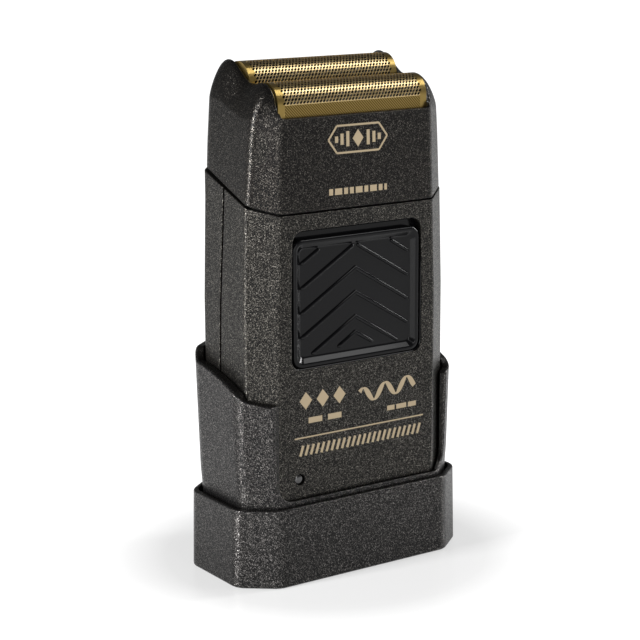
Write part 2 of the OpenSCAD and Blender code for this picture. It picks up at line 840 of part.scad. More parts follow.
// Opening under one foil, between its two end cheeks
module foil_window(y) {
    half = foil_r + foil_gap;
    block([-foil_hl + 0.6, y - half, 100], [foil_hl - 0.6, y + half, frame_top_z + 1]);
    for (sx = side) for (sy = side) {
        xs = [sx * (foil_hl - 1), sx * (foil_hl + 0.1)];
        ys = [y + sy * half, y + sy * (half - 0.25)];
        block([min(xs), min(ys), 100], [max(xs), max(ys), frame_top_z + 1]);
    }
}

module foil_cheek(sx, y, arch_z) {
    x = sx * (foil_hl - 0.1);
    translate([x - 0.7, y, arch_z]) rotate([0, 90, 0]) cylinder(r = foil_r - foil_t - 0.05, h = 1.4);
    block([x - 0.7, y - foil_r + foil_t + 0.05, ceiling_z], [x + 0.7, y + foil_r - foil_t - 0.05, arch_z]);
}

// Thin arched sheet with straight skirts
module foil(y, arch_z, skirt_z) {
    drop = arch_z - skirt_z;
    translate([-foil_hl, y, arch_z]) rotate([90, 0, 90]) linear_extrude(2 * foil_hl) difference() {
        union() {
            circle(foil_r);
            translate([-foil_r, -drop]) square([2 * foil_r, drop]);
        }
        circle(foil_r - foil_t);
        translate([-foil_r + foil_t, -drop - 1]) square([2 * (foil_r - foil_t), drop + 1]);
    }
}

module front_foil() {
    color(gold) foil(front_y, front_arch_z, ceiling_z);
}

module rear_foil() {
    color(gold) foil(rear_y, rear_arch_z, ceiling_z);
}

// ---------------------------------------------------------------- thumb slider

// Stepped chevron ridge with its apex at the top
module chevron(apex_z) {
    reach = slider_hw - 3;
    drop = reach * tan(chevron_slope);
    polygon([[-reach, apex_z - drop], [0, apex_z], [reach, apex_z - drop],
        [reach, apex_z - drop - chevron_w], [0, apex_z - chevron_w], [-reach, apex_z - drop - chevron_w]]);
}

// Outline of the slider's recessed face
module slider_floor() {
    round_rect(slider_hw - slider_rim_w, slider_z0 + 2.4, slider_z1 - 2.2, 1.5);
}

module thumb_slider() {
    color(gloss_black) difference() {
        union() {
            difference() {
                front_extrude(slider_rim_y, slider_back_y)
                    round_rect(slider_hw, slider_z0, slider_z1, window_r - 0.3);
                front_extrude(-20, slider_floor_y) slider_floor();
            }
            front_extrude(slider_floor_y - 0.8, slider_floor_y + eps) intersection() {
                slider_floor();
                union() for (i = [0:6]) chevron(slider_z1 + 3.7 - i * chevron_pitch);
            }
            block([-2.3, slider_back_y - 0.1, knob_z0 - 1.2], [2.3, -11.15, knob_z1 + 1.2]);
        }
        block([-1.45, -12.1, knob_z0 - 0.05], [1.45, 0, knob_z1 + 0.05]);
    }
}

module switch_knob() {
    color([0.85, 0.85, 0.85]) block([-1.4, -12.05, knob_z0], [1.4, -9.3, knob_z1]);
}

stand_base();
stand_cradle();
stand_bottom_plate();
stand_feet();
stand_screws();
stand_contact_block();
stand_contact_pins();
stand_circuit_board();
stand_dc_socket();
stand_socket_pin();
front_shell();
rear_shell();
bottom_cap();
charge_contacts();
chassis();
battery_cell();
battery_tabs();
circuit_board();
board_parts();
switch_housing();
led_lens();
motor_can();
motor_end_cap();
motor_terminals();
motor_magnets();
drive_guide();
head_deck();
deck_seal();
cap_screws();
deck_screws();
motor_shaft();
motor_armature();
eccentric_cam();
front_drive_bridge();
rear_drive_bridge();
front_cutter_block();
front_blades();
front_springs();
rear_cutter_block();
rear_blades();
rear_springs();
head_cover();
foil_frame();
front_foil();
rear_foil();
thumb_slider();
switch_knob();
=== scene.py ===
"""Looks of a foil shaver in its charging stand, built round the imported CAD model.

Lengths inside the script are millimetres, in the row frame: X right, Y rear, Z up.
Meshes are scaled to metres when they are made.
"""

import json
import math

import bmesh
import bpy
import numpy as np
from mathutils import Matrix, Vector


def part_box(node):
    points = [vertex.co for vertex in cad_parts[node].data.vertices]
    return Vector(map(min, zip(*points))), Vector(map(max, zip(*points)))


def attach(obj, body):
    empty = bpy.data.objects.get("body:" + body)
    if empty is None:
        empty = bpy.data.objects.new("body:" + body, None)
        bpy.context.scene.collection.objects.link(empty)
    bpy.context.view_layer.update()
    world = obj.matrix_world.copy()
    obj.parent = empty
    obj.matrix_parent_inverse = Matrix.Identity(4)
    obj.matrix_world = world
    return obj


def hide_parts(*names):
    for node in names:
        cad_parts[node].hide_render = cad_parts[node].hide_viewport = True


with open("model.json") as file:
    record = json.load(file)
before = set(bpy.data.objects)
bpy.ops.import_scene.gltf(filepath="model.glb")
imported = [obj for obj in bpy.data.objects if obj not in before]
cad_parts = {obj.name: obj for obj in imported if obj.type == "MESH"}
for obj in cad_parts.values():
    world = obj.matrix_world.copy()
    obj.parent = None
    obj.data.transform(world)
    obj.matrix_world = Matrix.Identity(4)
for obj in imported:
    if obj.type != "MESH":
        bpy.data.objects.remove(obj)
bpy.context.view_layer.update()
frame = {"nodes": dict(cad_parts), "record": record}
MM = 0.001


def box(node):
    """Lowest and highest corner of a CAD node, in millimetres."""
    low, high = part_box(node)
    return np.array(low) / MM, np.array(high) / MM


# ---------------------------------------------------------------- sizes

SHELL_LOW, SHELL_HIGH = box("front_shell")
_, REAR_HIGH = box("rear_shell")
_, BASE_HIGH = box("stand_base")
FRONT_FOIL_LOW, FRONT_FOIL_HIGH = box("front_foil")
REAR_FOIL_LOW, REAR_FOIL_HIGH = box("rear_foil")
SLIDER_LOW, SLIDER_HIGH = box("thumb_slider")
PIN_LOW, PIN_HIGH = box("stand_contact_pins")

BEVEL = math.radians(38)
BODY_HW = SHELL_HIGH[0]
BODY_HD = REAR_HIGH[1]
FACE_HW = 24.2
WALL = 1.8
BODY_R = 1.8
HEAD_R = 2.4
BODY_SEC = (BODY_HW, BODY_HD, FACE_HW)
TOP_SEC = (BODY_HW - 0.7, BODY_HD, FACE_HW - 0.8)
BODY_LEVELS = ((SHELL_LOW[2], BODY_SEC), (72.0, BODY_SEC), (98.0, TOP_SEC), (112.0, TOP_SEC))
HEAD_MID_Z = 112.0
HEAD_LEVELS = (
    (92.0, (BODY_HW - 0.6, BODY_HD, FACE_HW - 0.7)),
    (HEAD_MID_Z, (BODY_HW - 1.9, BODY_HD - 0.15, FACE_HW - 1.1)),
    (133.0, (BODY_HW - 3.8, BODY_HD - 0.55, FACE_HW - 1.6)),
)
SEAM_Z = 95.6
SEAM_SLOPE = math.tan(math.radians(20.8))
SEAM_GAP = 0.42
JOINT_Y = 1.6
JOINT_SLOPE = -math.tan(math.radians(2.3))
JOINT_Z = 72.0
JOINT_GAP = 0.38

FOIL_HL = FRONT_FOIL_HIGH[0]
FOIL_R = (FRONT_FOIL_HIGH[1] - FRONT_FOIL_LOW[1]) / 2
FRONT_Y = (FRONT_FOIL_HIGH[1] + FRONT_FOIL_LOW[1]) / 2
REAR_Y = (REAR_FOIL_HIGH[1] + REAR_FOIL_LOW[1]) / 2
FRONT_CREST = FRONT_FOIL_HIGH[2]
REAR_CREST = REAR_FOIL_HIGH[2]
SKIRT_Z = FRONT_FOIL_LOW[2]
EAR_X = FOIL_HL + 0.9
PANEL_Z = 119.3
REAR_PANEL_Z = 124.0
LIP_Y = -13.5
LIP_Z = 118.0
WELL_Y = 13.2
CEILING_Z = 113.2

BASE_SEC = (BASE_HIGH[0], BASE_HIGH[1], 26.4)
BASE_TOP_SEC = (BASE_HIGH[0] - 0.4, BASE_HIGH[1] - 0.2, 26.2)
BASE_FOOT_Z = 0.12
BASE_R = 5.0
CRADLE_LEVELS = (
    (12.0, (BODY_HW + 1.5, 16.4, 25.0)),
    (20.5, (BODY_HW + 1.6, 16.5, 25.1)),
    (27.0, (BODY_HW + 2.2, 16.7, 25.4)),
    (61.0, (BODY_HW + 3.3, 17.0, 26.2)),
)
CRADLE_R = 6.0
RIM_Z, RIM_SLOPE, RIM_STEP = 49.8, 0.5, 3.2
CRADLE_WALL = 1.5
BASE_WALL = 1.25
POCKET_SEC = (BODY_HW + 0.4, BODY_HD + 0.4, FACE_HW + 0.2)
FLOOR_TOP_Z = 13.6
CUT_LEFT = 26.5
CUT_RIGHT = 29.5
CUT_Z = 22.0

WINDOW = (20.4, 55.6, 91.2, 3.0)
TRAY_Y = -12.4
LED = (-18.3, 27.0, 1.5)

# ---------------------------------------------------------------- outlines


def corner_table(n):
    """For each column of a bevelled outline: its corner, the corner's two edge angles and its own."""
    b, h, p = BEVEL, math.pi / 2, math.pi
    turns = [(0, b), (b, h), (h, p - b), (p - b, p), (p, p + b), (p + b, 3 * h),
             (3 * h, 2 * p - b), (2 * p - b, 2 * p)]
    rows = []
    for i, (t0, t1) in enumerate(turns):
        for a in np.linspace(t0, t1, n + 1):
            rows.append((i, t0, t1, a - h))
    return np.array(rows)


class Wrap:
    """Maps flat places (s along the outline, depth, height) onto an eight-sided column.

    s runs to the right from the front centre. Depth runs inwards, and reaches the inner
    sections, where they are given, at the wall's thickness.
    """

    def __init__(self, levels, r, n=8, inner=None, inner_r=0.4, wall=WALL):
        """levels and inner are (height, section) pairs. r and inner_r are their corner radii."""
        self.table = corner_table(n)
        self.n = len(self.table)
        self.z = [z for z, _ in levels]
        self.sec = np.array([s for _, s in levels])
        self.inner = None if inner is None else np.array([s for _, s in inner])
        self.inner_z = None if inner is None else [z for z, _ in inner]
        self.r, self.inner_r, self.wall = r, inner_r, wall
        pts = self.place(np.arange(self.n), self.sec[0][:, None] + np.zeros((3, self.n)), r)
        step = np.linalg.norm(np.diff(pts, axis=0), axis=1)
        self.s = pts[0, 0] + np.concatenate([[0], np.cumsum(step)])
        self.length = self.s[-1] + abs(pts[-1, 0])

    def place(self, k, sec, r):
        """Places of the columns k on sections of half-widths, half-depths and front half-widths."""
        hx, hy, fx = sec
        sy = hy - (hx - fx) * math.tan(BEVEL)
        row = self.table[k]
        i = row[:, 0].astype(int)
        pick = np.arange(len(k))
        px = np.stack([fx, hx, hx, fx, -fx, -hx, -hx, -fx])[i, pick]
        py = np.stack([-hy, -sy, sy, hy, hy, sy, -sy, -hy])[i, pick]
        mid = (row[:, 1] + row[:, 2]) / 2 - math.pi / 2
        half = (row[:, 2] - row[:, 1]) / 2
        a = row[:, 3]
        x = px - r / np.cos(half) * np.cos(mid) + r * np.cos(a)
        y = py - r / np.cos(half) * np.sin(mid) + r * np.sin(a)
        return np.stack([x, y], 1)

    def column(self, k, d, z):
        """Places of the columns k at depths and heights."""
        sec = np.stack([np.interp(z, self.z, self.sec[:, i]) for i in range(3)])
        if self.inner is not None:
            low = np.stack([np.interp(z, self.inner_z, self.inner[:, i]) for i in range(3)])
            outer, inner = self.place(k, sec, self.r), self.place(k, low, self.inner_r)
            return outer + (inner - outer) * (d / self.wall)[:, None]
        inset = np.stack([d, d, d * math.tan(BEVEL / 2)])
        return self.place(k, sec - inset, np.maximum(self.r - d, 0.4))

    def __call__(self, s, d=0.0, z=0.0):
        """Places as (x, y) rows, straight between the columns."""
        s, d, z = np.broadcast_arrays(np.mod(np.asarray(s, float), self.length), d, z)
        s, d, z = (np.array(v, float).ravel() for v in (s, d, z))
        k = np.searchsorted(self.s, s, side="right") - 1
        low, high = k % self.n, (k + 1) % self.n
        s0 = np.where(k < 0, self.s[-1] - self.length, self.s[low])
        s1 = np.where(k + 1 >= self.n, self.s[0] + self.length, self.s[high])
        f = ((s - s0) / (s1 - s0))[:, None]
        a, b = self.column(low, d, z), self.column(high, d, z)
        return a + (b - a) * f

    def s_at(self, axis, value, z):
        """s of the place on the right half where x (axis 0) or y (axis 1) has a value."""
        s = np.linspace(0, self.length / 2, 4001)
        p = self(s, 0, z)[:, axis]
        if axis == 0:
            s, p = s[s < self.s[16]], p[s < self.s[16]]
        return float(np.interp(value, p, s))


def seam(y):
    """Height of the seam below the head at depth y."""
    return SEAM_Z + SEAM_SLOPE * (y + BODY_HD)


def rim(y):
    """Height of the stand pocket's rim at depth y."""
    u = np.minimum(y + 10, 19)
    bend = np.where(u < 0, 0.0167, -0.01)
    return RIM_Z + RIM_SLOPE * u + bend * u * u + RIM_STEP * smooth((y - 8.6) / 4.4)


def smooth(t):
    """Smooth step from 0 to 1."""
    t = np.clip(t, 0, 1)
    return t * t * (3 - 2 * t)


def ear_line():
    """Side view of the ears' inner edge as (y, z) points, front to rear."""
    a = np.radians(np.arange(10, 91, 2.5))
    front = [(LIP_Y, PANEL_Z + 1.2), (LIP_Y + 0.25, PANEL_Z + 1.7)]
    hump = [(FRONT_Y + 0.5 - 5.6 * math.cos(t), FRONT_CREST - 6.8 + 6.7 * math.sin(t)) for t in a]
    top, low, high = FRONT_CREST - 0.1, FRONT_CREST - 0.6, REAR_CREST + 0.3
    u = np.linspace(0, 1, 21)[1:]
    wave = (1 - np.cos(np.pi * u)) / 2
    valley = list(zip(-7.5 + 4.5 * u, top + (low - top) * wave))
    climb = list(zip(-3 + 11 * u, low + (high - low) * wave))
    back = [(8 + 5.2 * math.cos(t), 126 + (high - 126) * math.sin(t)) for t in a[::-1]]
    return np.array(front + hump + valley + climb + back + [(WELL_Y, REAR_PANEL_Z + 1.2)])


# ---------------------------------------------------------------- meshes


def make(name, verts, faces, scale=1.0):
    """New mesh object from points and faces."""
    mesh = bpy.data.meshes.new(name)
    mesh.from_pydata([tuple(v) for v in np.asarray(verts, float) * scale], [], faces)
    obj = bpy.data.objects.new(name, mesh)
    bpy.context.scene.collection.objects.link(obj)
    return obj


def tidy(obj, merge=1e-5):
    """Merges doubles and turns the faces outwards."""
    bm = bmesh.new()
    bm.from_mesh(obj.data)
    bmesh.ops.remove_doubles(bm, verts=bm.verts, dist=merge)
    bmesh.ops.dissolve_degenerate(bm, edges=bm.edges, dist=merge)
    bmesh.ops.recalc_face_normals(bm, faces=bm.faces)
    bm.to_mesh(obj.data)
    bm.free()
    return obj


def lattice(rows, cols, wrap_rows=False, wrap_cols=True):
    """Quads of a grid of points stored row by row."""
    i = np.arange(rows if wrap_rows else rows - 1)[:, None]
    j = np.arange(cols if wrap_cols else cols - 1)[None, :]
    i2, j2 = (i + 1) % rows, (j + 1) % cols
    quads = np.stack([i * cols + j, i * cols + j2, i2 * cols + j2, i2 * cols + j], -1)
    return [tuple(q) for q in quads.reshape(-1, 4).tolist()]


def rings(name, loops, scale=1.0):
    """Closed solid through loops of points, capped at both ends."""
    loops = np.array(loops, float)
    rows, cols = loops.shape[:2]
    faces = lattice(rows, cols)
    faces += [tuple(range(cols))[::-1], tuple((rows - 1) * cols + j for j in range(cols))]
    return tidy(make(name, loops.reshape(-1, 3), faces, scale), 1e-6 * max(scale, 1e-3) * 100)


def prism(name, outline, axis, low, high, scale=1.0):
    """Closed solid with one outline, from low to high along an axis."""
    outline = np.asarray(outline, float)
    others = [i for i in range(3) if i != axis]
    loops = np.zeros((2, len(outline), 3))
    loops[:, :, others] = outline
    loops[0, :, axis], loops[1, :, axis] = low, high
    return rings(name, loops, scale)


def cut(obj, tool, operation="DIFFERENCE"):
    """Exact boolean of obj with tool, which is used up."""
    m = obj.modifiers.new("cut", "BOOLEAN")
    m.object, m.operation, m.solver = tool, operation, "EXACT"
    bpy.context.view_layer.update()
    graph = bpy.context.evaluated_depsgraph_get()
    mesh = bpy.data.meshes.new_from_object(obj.evaluated_get(graph), depsgraph=graph)
    obj.modifiers.clear()
    obj.data = mesh
    bpy.data.objects.remove(tool)
    return obj


def mark_painted_shade(obj, depth):
    """Gives a flat sheet's faces beyond a depth the second material, a darker copy of the paint that
    stands for painted shade.
    """
    for p in obj.data.polygons:
        p.material_index = int(p.center.y > depth)


def rescale(obj, scale):
    """Scales the mesh about the origin."""
    obj.data.transform(Matrix.Scale(scale, 4))
    return obj


def shade(obj, angle=34):
    """Smooth shading with even normals on flat faces."""
    obj.data.polygons.foreach_set("use_smooth", [True] * len(obj.data.polygons))
    obj.data.set_sharp_from_angle(angle=math.radians(angle))
    m = obj.modifiers.new("normals", "WEIGHTED_NORMAL")
    m.keep_sharp = True
    m.weight = 50
    return obj


def shifted(poly, inset, fixed=()):
    """Counter-clockwise closed polygon moved inwards. Edges listed in fixed stay where they are."""
    poly = np.asarray(poly, float)
    edge = np.roll(poly, -1, 0) - poly
    edge /= np.linalg.norm(edge, axis=1)[:, None]
    normal = np.stack([-edge[:, 1], edge[:, 0]], 1)
    e = np.full(len(poly), float(inset))
    e[list(fixed)] = 0
    n0, e0 = np.roll(normal, 1, 0), np.roll(e, 1)
    det = n0[:, 0] * normal[:, 1] - n0[:, 1] * normal[:, 0]
    flat = np.abs(det) < 1e-3
    det = np.where(flat, 1, det)
    x = np.where(flat, (e0 + e) / 2 * normal[:, 0], (e0 * normal[:, 1] - e * n0[:, 1]) / det)
    y = np.where(flat, (e0 + e) / 2 * normal[:, 1], (e * n0[:, 0] - e0 * normal[:, 0]) / det)
    return poly + np.stack([x, y], 1)


def quarter(n=4):
    """Sines and cosines of a quarter turn."""
    a = np.linspace(0, math.pi / 2, n + 1)
    return np.sin(a), np.cos(a)


def sheet(name, poly, wall, r_out, r_in, fixed=()):
    """Flat wall with rounded edges, in (s, depth, height) space."""
    sin, cos = quarter()
    steps = [(r_out * (1 - a), r_out * (1 - b)) for a, b in zip(sin, cos)]
    steps += [(r_in * (1 - b), wall - r_in + r_in * a) for a, b in zip(sin, cos)]
    return rings(name, [flat_loop(poly, inset, d, fixed) for inset, d in steps])


def flat_loop(poly, inset, d, fixed=()):
    """Outline moved inwards, as points of a flat sheet at depth d."""
    p = shifted(poly, inset, fixed)
    return np.stack([p[:, 0], np.full(len(p), d), p[:, 1]], 1)


def plug(poly, wall, r_out, r_in):
    """Cutter for a hole with rounded edges through such a wall."""
    sin, cos = quarter()
    steps = [(-r_out, -2.0)]
    steps += [(-r_out * (1 - a), r_out * (1 - b)) for a, b in zip(sin, cos)]
    steps += [(-r_in * (1 - b), wall - r_in + r_in * a) for a, b in zip(sin, cos)]
    steps += [(-r_in, wall + 2.0)]
    return rings("plug", [flat_loop(poly, inset, d) for inset, d in steps])


def wrap_sheet(obj, wrap, levels=(), ends=None):
    """Bends a flat sheet round its column. ends are the s values of a ring's two joined ends."""
    bm = bmesh.new()
    bm.from_mesh(obj.data)
    s = [v.co.x for v in bm.verts]
    turns = [c + k * wrap.length for c in wrap.s for k in (-1, 0, 1)]
    for c in turns:
        if min(s) + 1e-3 < c < max(s) - 1e-3:
            geom = bm.verts[:] + bm.edges[:] + bm.faces[:]
            bmesh.ops.bisect_plane(bm, geom=geom, dist=1e-5, plane_co=(c, 0, 0), plane_no=(1, 0, 0))
    for z in levels:
        geom = bm.verts[:] + bm.edges[:] + bm.faces[:]
        bmesh.ops.bisect_plane(bm, geom=geom, dist=1e-5, plane_co=(0, 0, z), plane_no=(0, 0, 1))
    if ends:
        caps = [f for f in bm.faces if any(all(abs(v.co.x - e) < 1e-4 for v in f.verts) for e in ends)]
        bmesh.ops.delete(bm, geom=caps, context="FACES")
    co = np.array([v.co for v in bm.verts])
    xy = wrap(co[:, 0], co[:, 1], co[:, 2])
    for v, (x, y), z in zip(bm.verts, xy, co[:, 2]):
        v.co = (x, y, z)
    bmesh.ops.remove_doubles(bm, verts=bm.verts, dist=2e-4)
    bmesh.ops.dissolve_degenerate(bm, edges=bm.edges, dist=1e-4)
    bmesh.ops.recalc_face_normals(bm, faces=bm.faces)
    bm.to_mesh(obj.data)
    bm.free()
    return rescale(obj, MM)


def fillet(points, index, r, n=8):
    """Replaces a corner of a polyline by an arc."""
    p = [np.array(v, float) for v in points]
    a, b, c = p[index - 1], p[index], p[(index + 1) % len(p)]
    u, v = (a - b) / np.linalg.norm(a - b), (c - b) / np.linalg.norm(c - b)
    half = math.acos(np.clip(u @ v, -1, 1)) / 2
    t = r / math.tan(half)
    centre = b + (u + v) / np.linalg.norm(u + v) * r / math.sin(half)
    p0, p1 = b + u * t, b + v * t
    a0, a1 = p0 - centre, p1 - centre
    turn = math.atan2(a0[0] * a1[1] - a0[1] * a1[0], a0 @ a1)
    out = []
    for k in range(n + 1):
        w = turn * k / n
        m = np.array([[math.cos(w), -math.sin(w)], [math.sin(w), math.cos(w)]])
        out.append(centre + m @ a0)
    return p[:index] + out + p[index + 1:]


def rounded_rect(hw, z0, z1, r, n=8):
    """Counter-clockwise rounded rectangle about x = 0."""
    pts = []
    corners = ((hw - r, z0 + r, -90), (hw - r, z1 - r, 0), (-hw + r, z1 - r, 90), (-hw + r, z0 + r, 180))
    for cx, cz, a0 in corners:
        for a in np.radians(np.linspace(a0, a0 + 90, n + 1)):
            pts.append((cx + r * math.cos(a), cz + r * math.sin(a)))
    return np.array(pts)


def circle(x, z, r, n=32):
    """Counter-clockwise circle."""
    a = np.linspace(0, 2 * math.pi, n + 1)[:-1]
    return np.stack([x + r * np.cos(a), z + r * np.sin(a)], 1)


# ---------------------------------------------------------------- materials


def material(name, color, metallic=0.0, roughness=0.5, **more):
    """New material. The other arguments are shader inputs, with _ for spaces."""
    m = bpy.data.materials.new(name)
    m.use_nodes = True
    m.diffuse_color = (*color, 1)
    b = m.node_tree.nodes["Principled BSDF"]
    b.inputs["Base Color"].default_value = (*color, 1)
    b.inputs["Metallic"].default_value = metallic
    b.inputs["Roughness"].default_value = roughness
    for key, value in more.items():
        b.inputs[key.replace("_", " ")].default_value = value
    return m


def node(m, kind, **values):
    """New shader node with its settings or inputs."""
    n = m.node_tree.nodes.new(kind)
    for key, value in values.items():
        if hasattr(n, key):
            setattr(n, key, value)
        else:
            n.inputs[key.replace("_", " ")].default_value = value
    return n


def link(m, a, out, b, inp):
    """Links two shader nodes."""
    m.node_tree.links.new(a.outputs[out], b.inputs[inp])


def ramp(m, stops):
    """Colour ramp through (position, colour) stops."""
    n = m.node_tree.nodes.new("ShaderNodeValToRGB")
    e = n.color_ramp.elements
    while len(e) < len(stops):
        e.new(0.5)
    for el, (pos, col) in zip(e, stops):
        el.position = pos
        el.color = (*col, 1)
    return n


def bumped(m, scale, strength, distance):
    """Fine noise relief, in object space."""
    coords = node(m, "ShaderNodeTexCoord")
    noise = node(m, "ShaderNodeTexNoise", Scale=scale, Detail=3.0)
    bump = node(m, "ShaderNodeBump", Strength=strength, Distance=distance)
    link(m, coords, "Object", noise, "Vector")
    link(m, noise, "Fac", bump, "Height")
    link(m, bump, "Normal", m.node_tree.nodes["Principled BSDF"], "Normal")
    return m


def plastic(name, color, roughness, reflection, *relief):
    """Plain plastic with a set strength of reflection, and noise relief."""
    return bumped(material(name, color, 0.0, roughness, Specular_IOR_Level=reflection), *relief)


def graphite(name, base, flake, share, roughness, tilt=0.22):
    """Dark moulded plastic full of fine metal flakes, each tilted its own way."""
    m = material(name, base, 0.0, roughness, Specular_IOR_Level=0.09)
    b = m.node_tree.nodes["Principled BSDF"]
    coords = node(m, "ShaderNodeTexCoord")
    cells = node(m, "ShaderNodeTexVoronoi", Scale=6200.0, Randomness=1.0)
    link(m, coords, "Object", cells, "Vector")
    dice = node(m, "ShaderNodeTexWhiteNoise")
    link(m, cells, "Position", dice, "Vector")
    roll = node(m, "ShaderNodeSeparateColor")
    link(m, dice, "Color", roll, "Color")

    is_flake = ramp(m, [(0.0, (1, 1, 1)), (share, (0, 0, 0))])
    is_flake.color_ramp.interpolation = "CONSTANT"
    link(m, roll, "Red", is_flake, "Fac")
    spread = ((0.0, 0.35), (0.6, 0.8), (0.9, 1.8), (1.0, 3.0))
    shine = ramp(m, [(p, tuple(v * k for v in flake)) for p, k in spread])
    link(m, roll, "Green", shine, "Fac")
    matt = ramp(m, [(0.0, tuple(v * 0.5 for v in base)), (1.0, tuple(v * 1.5 for v in base))])
    link(m, roll, "Green", matt, "Fac")
    tone = node(m, "ShaderNodeMix", data_type="RGBA", blend_type="MIX")
    link(m, is_flake, "Color", tone, 0)
    link(m, matt, "Color", tone, 6)
    link(m, shine, "Color", tone, 7)
    m.node_tree.links.new(tone.outputs[2], b.inputs["Base Color"])
    link(m, is_flake, "Color", b, "Metallic")

    centred = node(m, "ShaderNodeVectorMath", operation="SUBTRACT")
    link(m, cells, "Color", centred, 0)
    centred.inputs[1].default_value = (0.5, 0.5, 0.5)
    lean = node(m, "ShaderNodeVectorMath", operation="SCALE")
    link(m, centred, "Vector", lean, 0)
    lean.inputs["Scale"].default_value = tilt
    surface = node(m, "ShaderNodeNewGeometry")
    leaned = node(m, "ShaderNodeVectorMath", operation="ADD")
    link(m, surface, "Normal", leaned, 0)
    link(m, lean, "Vector", leaned, 1)
    unit = node(m, "ShaderNodeVectorMath", operation="NORMALIZE")
    link(m, leaned, "Vector", unit, 0)
    link(m, unit, "Vector", b, "Normal")
    return m


GRAPHITE = graphite("graphite_paint", (0.0040, 0.0038, 0.0035), (0.066, 0.062, 0.055), 0.36, 0.36)
HEAD_GRAPHITE = graphite("head_graphite", (0.0030, 0.0028, 0.0026), (0.050, 0.046, 0.041), 0.32, 0.32)
STAND_GRAPHITE = graphite("stand_graphite", (0.0060, 0.0059, 0.0060), (0.078, 0.074, 0.071), 0.36, 0.34)
# Darker copy of the stand paint: painted shade on the stand's inner walls, rim tops, cut edges and
# pocket floor.
STAND_PAINTED_SHADE = graphite("stand_painted_shade", (0.0030, 0.0028, 0.0026), (0.04, 0.037, 0.033), 0.22, 0.42)
GLOSS_BLACK = plastic("gloss_black", (0.0030, 0.0030, 0.0034), 0.11, 0.13, 260.0, 0.05, 0.00004)
HEAD_LIP = plastic("head_lip", (0.012, 0.012, 0.011), 0.24, 0.8, 2400.0, 0.1, 0.00002)
DARK_PLASTIC = plastic("dark_plastic", (0.006, 0.006, 0.006), 0.38, 0.3, 3000.0, 0.2, 0.00003)
RUBBER = bumped(material("rubber", (0.028, 0.028, 0.028), 0.0, 0.75), 2500.0, 0.4, 0.00005)
CUTTER_STEEL = bumped(material("cutter_steel", (0.10, 0.10, 0.10), 1.0, 0.34), 1800.0, 0.12, 0.00002)
STEEL = bumped(material("steel", (0.56, 0.56, 0.55), 1.0, 0.28), 1800.0, 0.12, 0.00002)
BRASS = bumped(material("brass", (0.78, 0.56, 0.25), 1.0, 0.26), 1800.0, 0.12, 0.00002)


def gold(name, arch_z):
    """Polished gilt foil, with fine slanting grooves below the arch, and a lighter gold on the
    perforated arch that is partly a painted sheen.
    """
    m = material(name, (0.56, 0.43, 0.22), 1.0, 0.30)
    b = m.node_tree.nodes["Principled BSDF"]
    coords = node(m, "ShaderNodeTexCoord")
    axes = node(m, "ShaderNodeSeparateXYZ")
    link(m, coords, "Object", axes, "Vector")

    def maths(operation, a, b_in):
        """Output of a maths node. Its inputs are numbers or sockets."""
        n = node(m, "ShaderNodeMath", operation=operation)
        for k, v in enumerate((a, b_in)):
            if isinstance(v, (int, float)):
                n.inputs[k].default_value = v
            else:
                m.node_tree.links.new(v, n.inputs[k])
        return n.outputs[0]

    along = maths("ADD", axes.outputs["X"], axes.outputs["Z"])
    wave = maths("SINE", maths("MULTIPLY", along, 2 * math.pi / (0.74 * MM)), 0.0)
    wave = maths("MULTIPLY_ADD", wave, 0.5)
    wave.node.inputs[2].default_value = 0.5
    below = maths("LESS_THAN", axes.outputs["Z"], arch_z * MM)
    inside = maths("LESS_THAN", maths("ABSOLUTE", axes.outputs["X"], 0.0), (FOIL_HL - 1.25) * MM)
    mask = maths("MULTIPLY", below, inside)
    groove = maths("MULTIPLY", wave, mask)
    tint = node(m, "ShaderNodeMix", data_type="RGBA", blend_type="MIX")
    tint.inputs[7].default_value = (0.055, 0.035, 0.010, 1)
    m.node_tree.links.new(groove, tint.inputs[0])
    # The perforated arch gets a lighter gold than the plain ends and skirts: partly the mesh's own look,
    # partly a painted sheen where the top light falls.
    perforated_with_painted_sheen = maths("MULTIPLY", maths("GREATER_THAN", axes.outputs["Z"], arch_z * MM), inside)
    plain = node(m, "ShaderNodeMix", data_type="RGBA", blend_type="MIX")
    plain.inputs[6].default_value = (0.225, 0.158, 0.050, 1)
    plain.inputs[7].default_value = (0.46, 0.35, 0.175, 1)
    m.node_tree.links.new(perforated_with_painted_sheen, plain.inputs[0])
    m.node_tree.links.new(plain.outputs[2], tint.inputs[6])
    m.node_tree.links.new(tint.outputs[2], b.inputs["Base Color"])
    noise = node(m, "ShaderNodeTexNoise", Scale=1500.0, Detail=3.0)
    link(m, coords, "Object", noise, "Vector")
    relief = maths("MULTIPLY_ADD", groove, -1.0)
    m.node_tree.links.new(maths("MULTIPLY", noise.outputs["Fac"], 0.25), relief.node.inputs[2])
    bump = node(m, "ShaderNodeBump", Strength=0.35, Distance=0.00004)
    m.node_tree.links.new(relief, bump.inputs["Height"])
    link(m, bump, "Normal", b, "Normal")
    return m


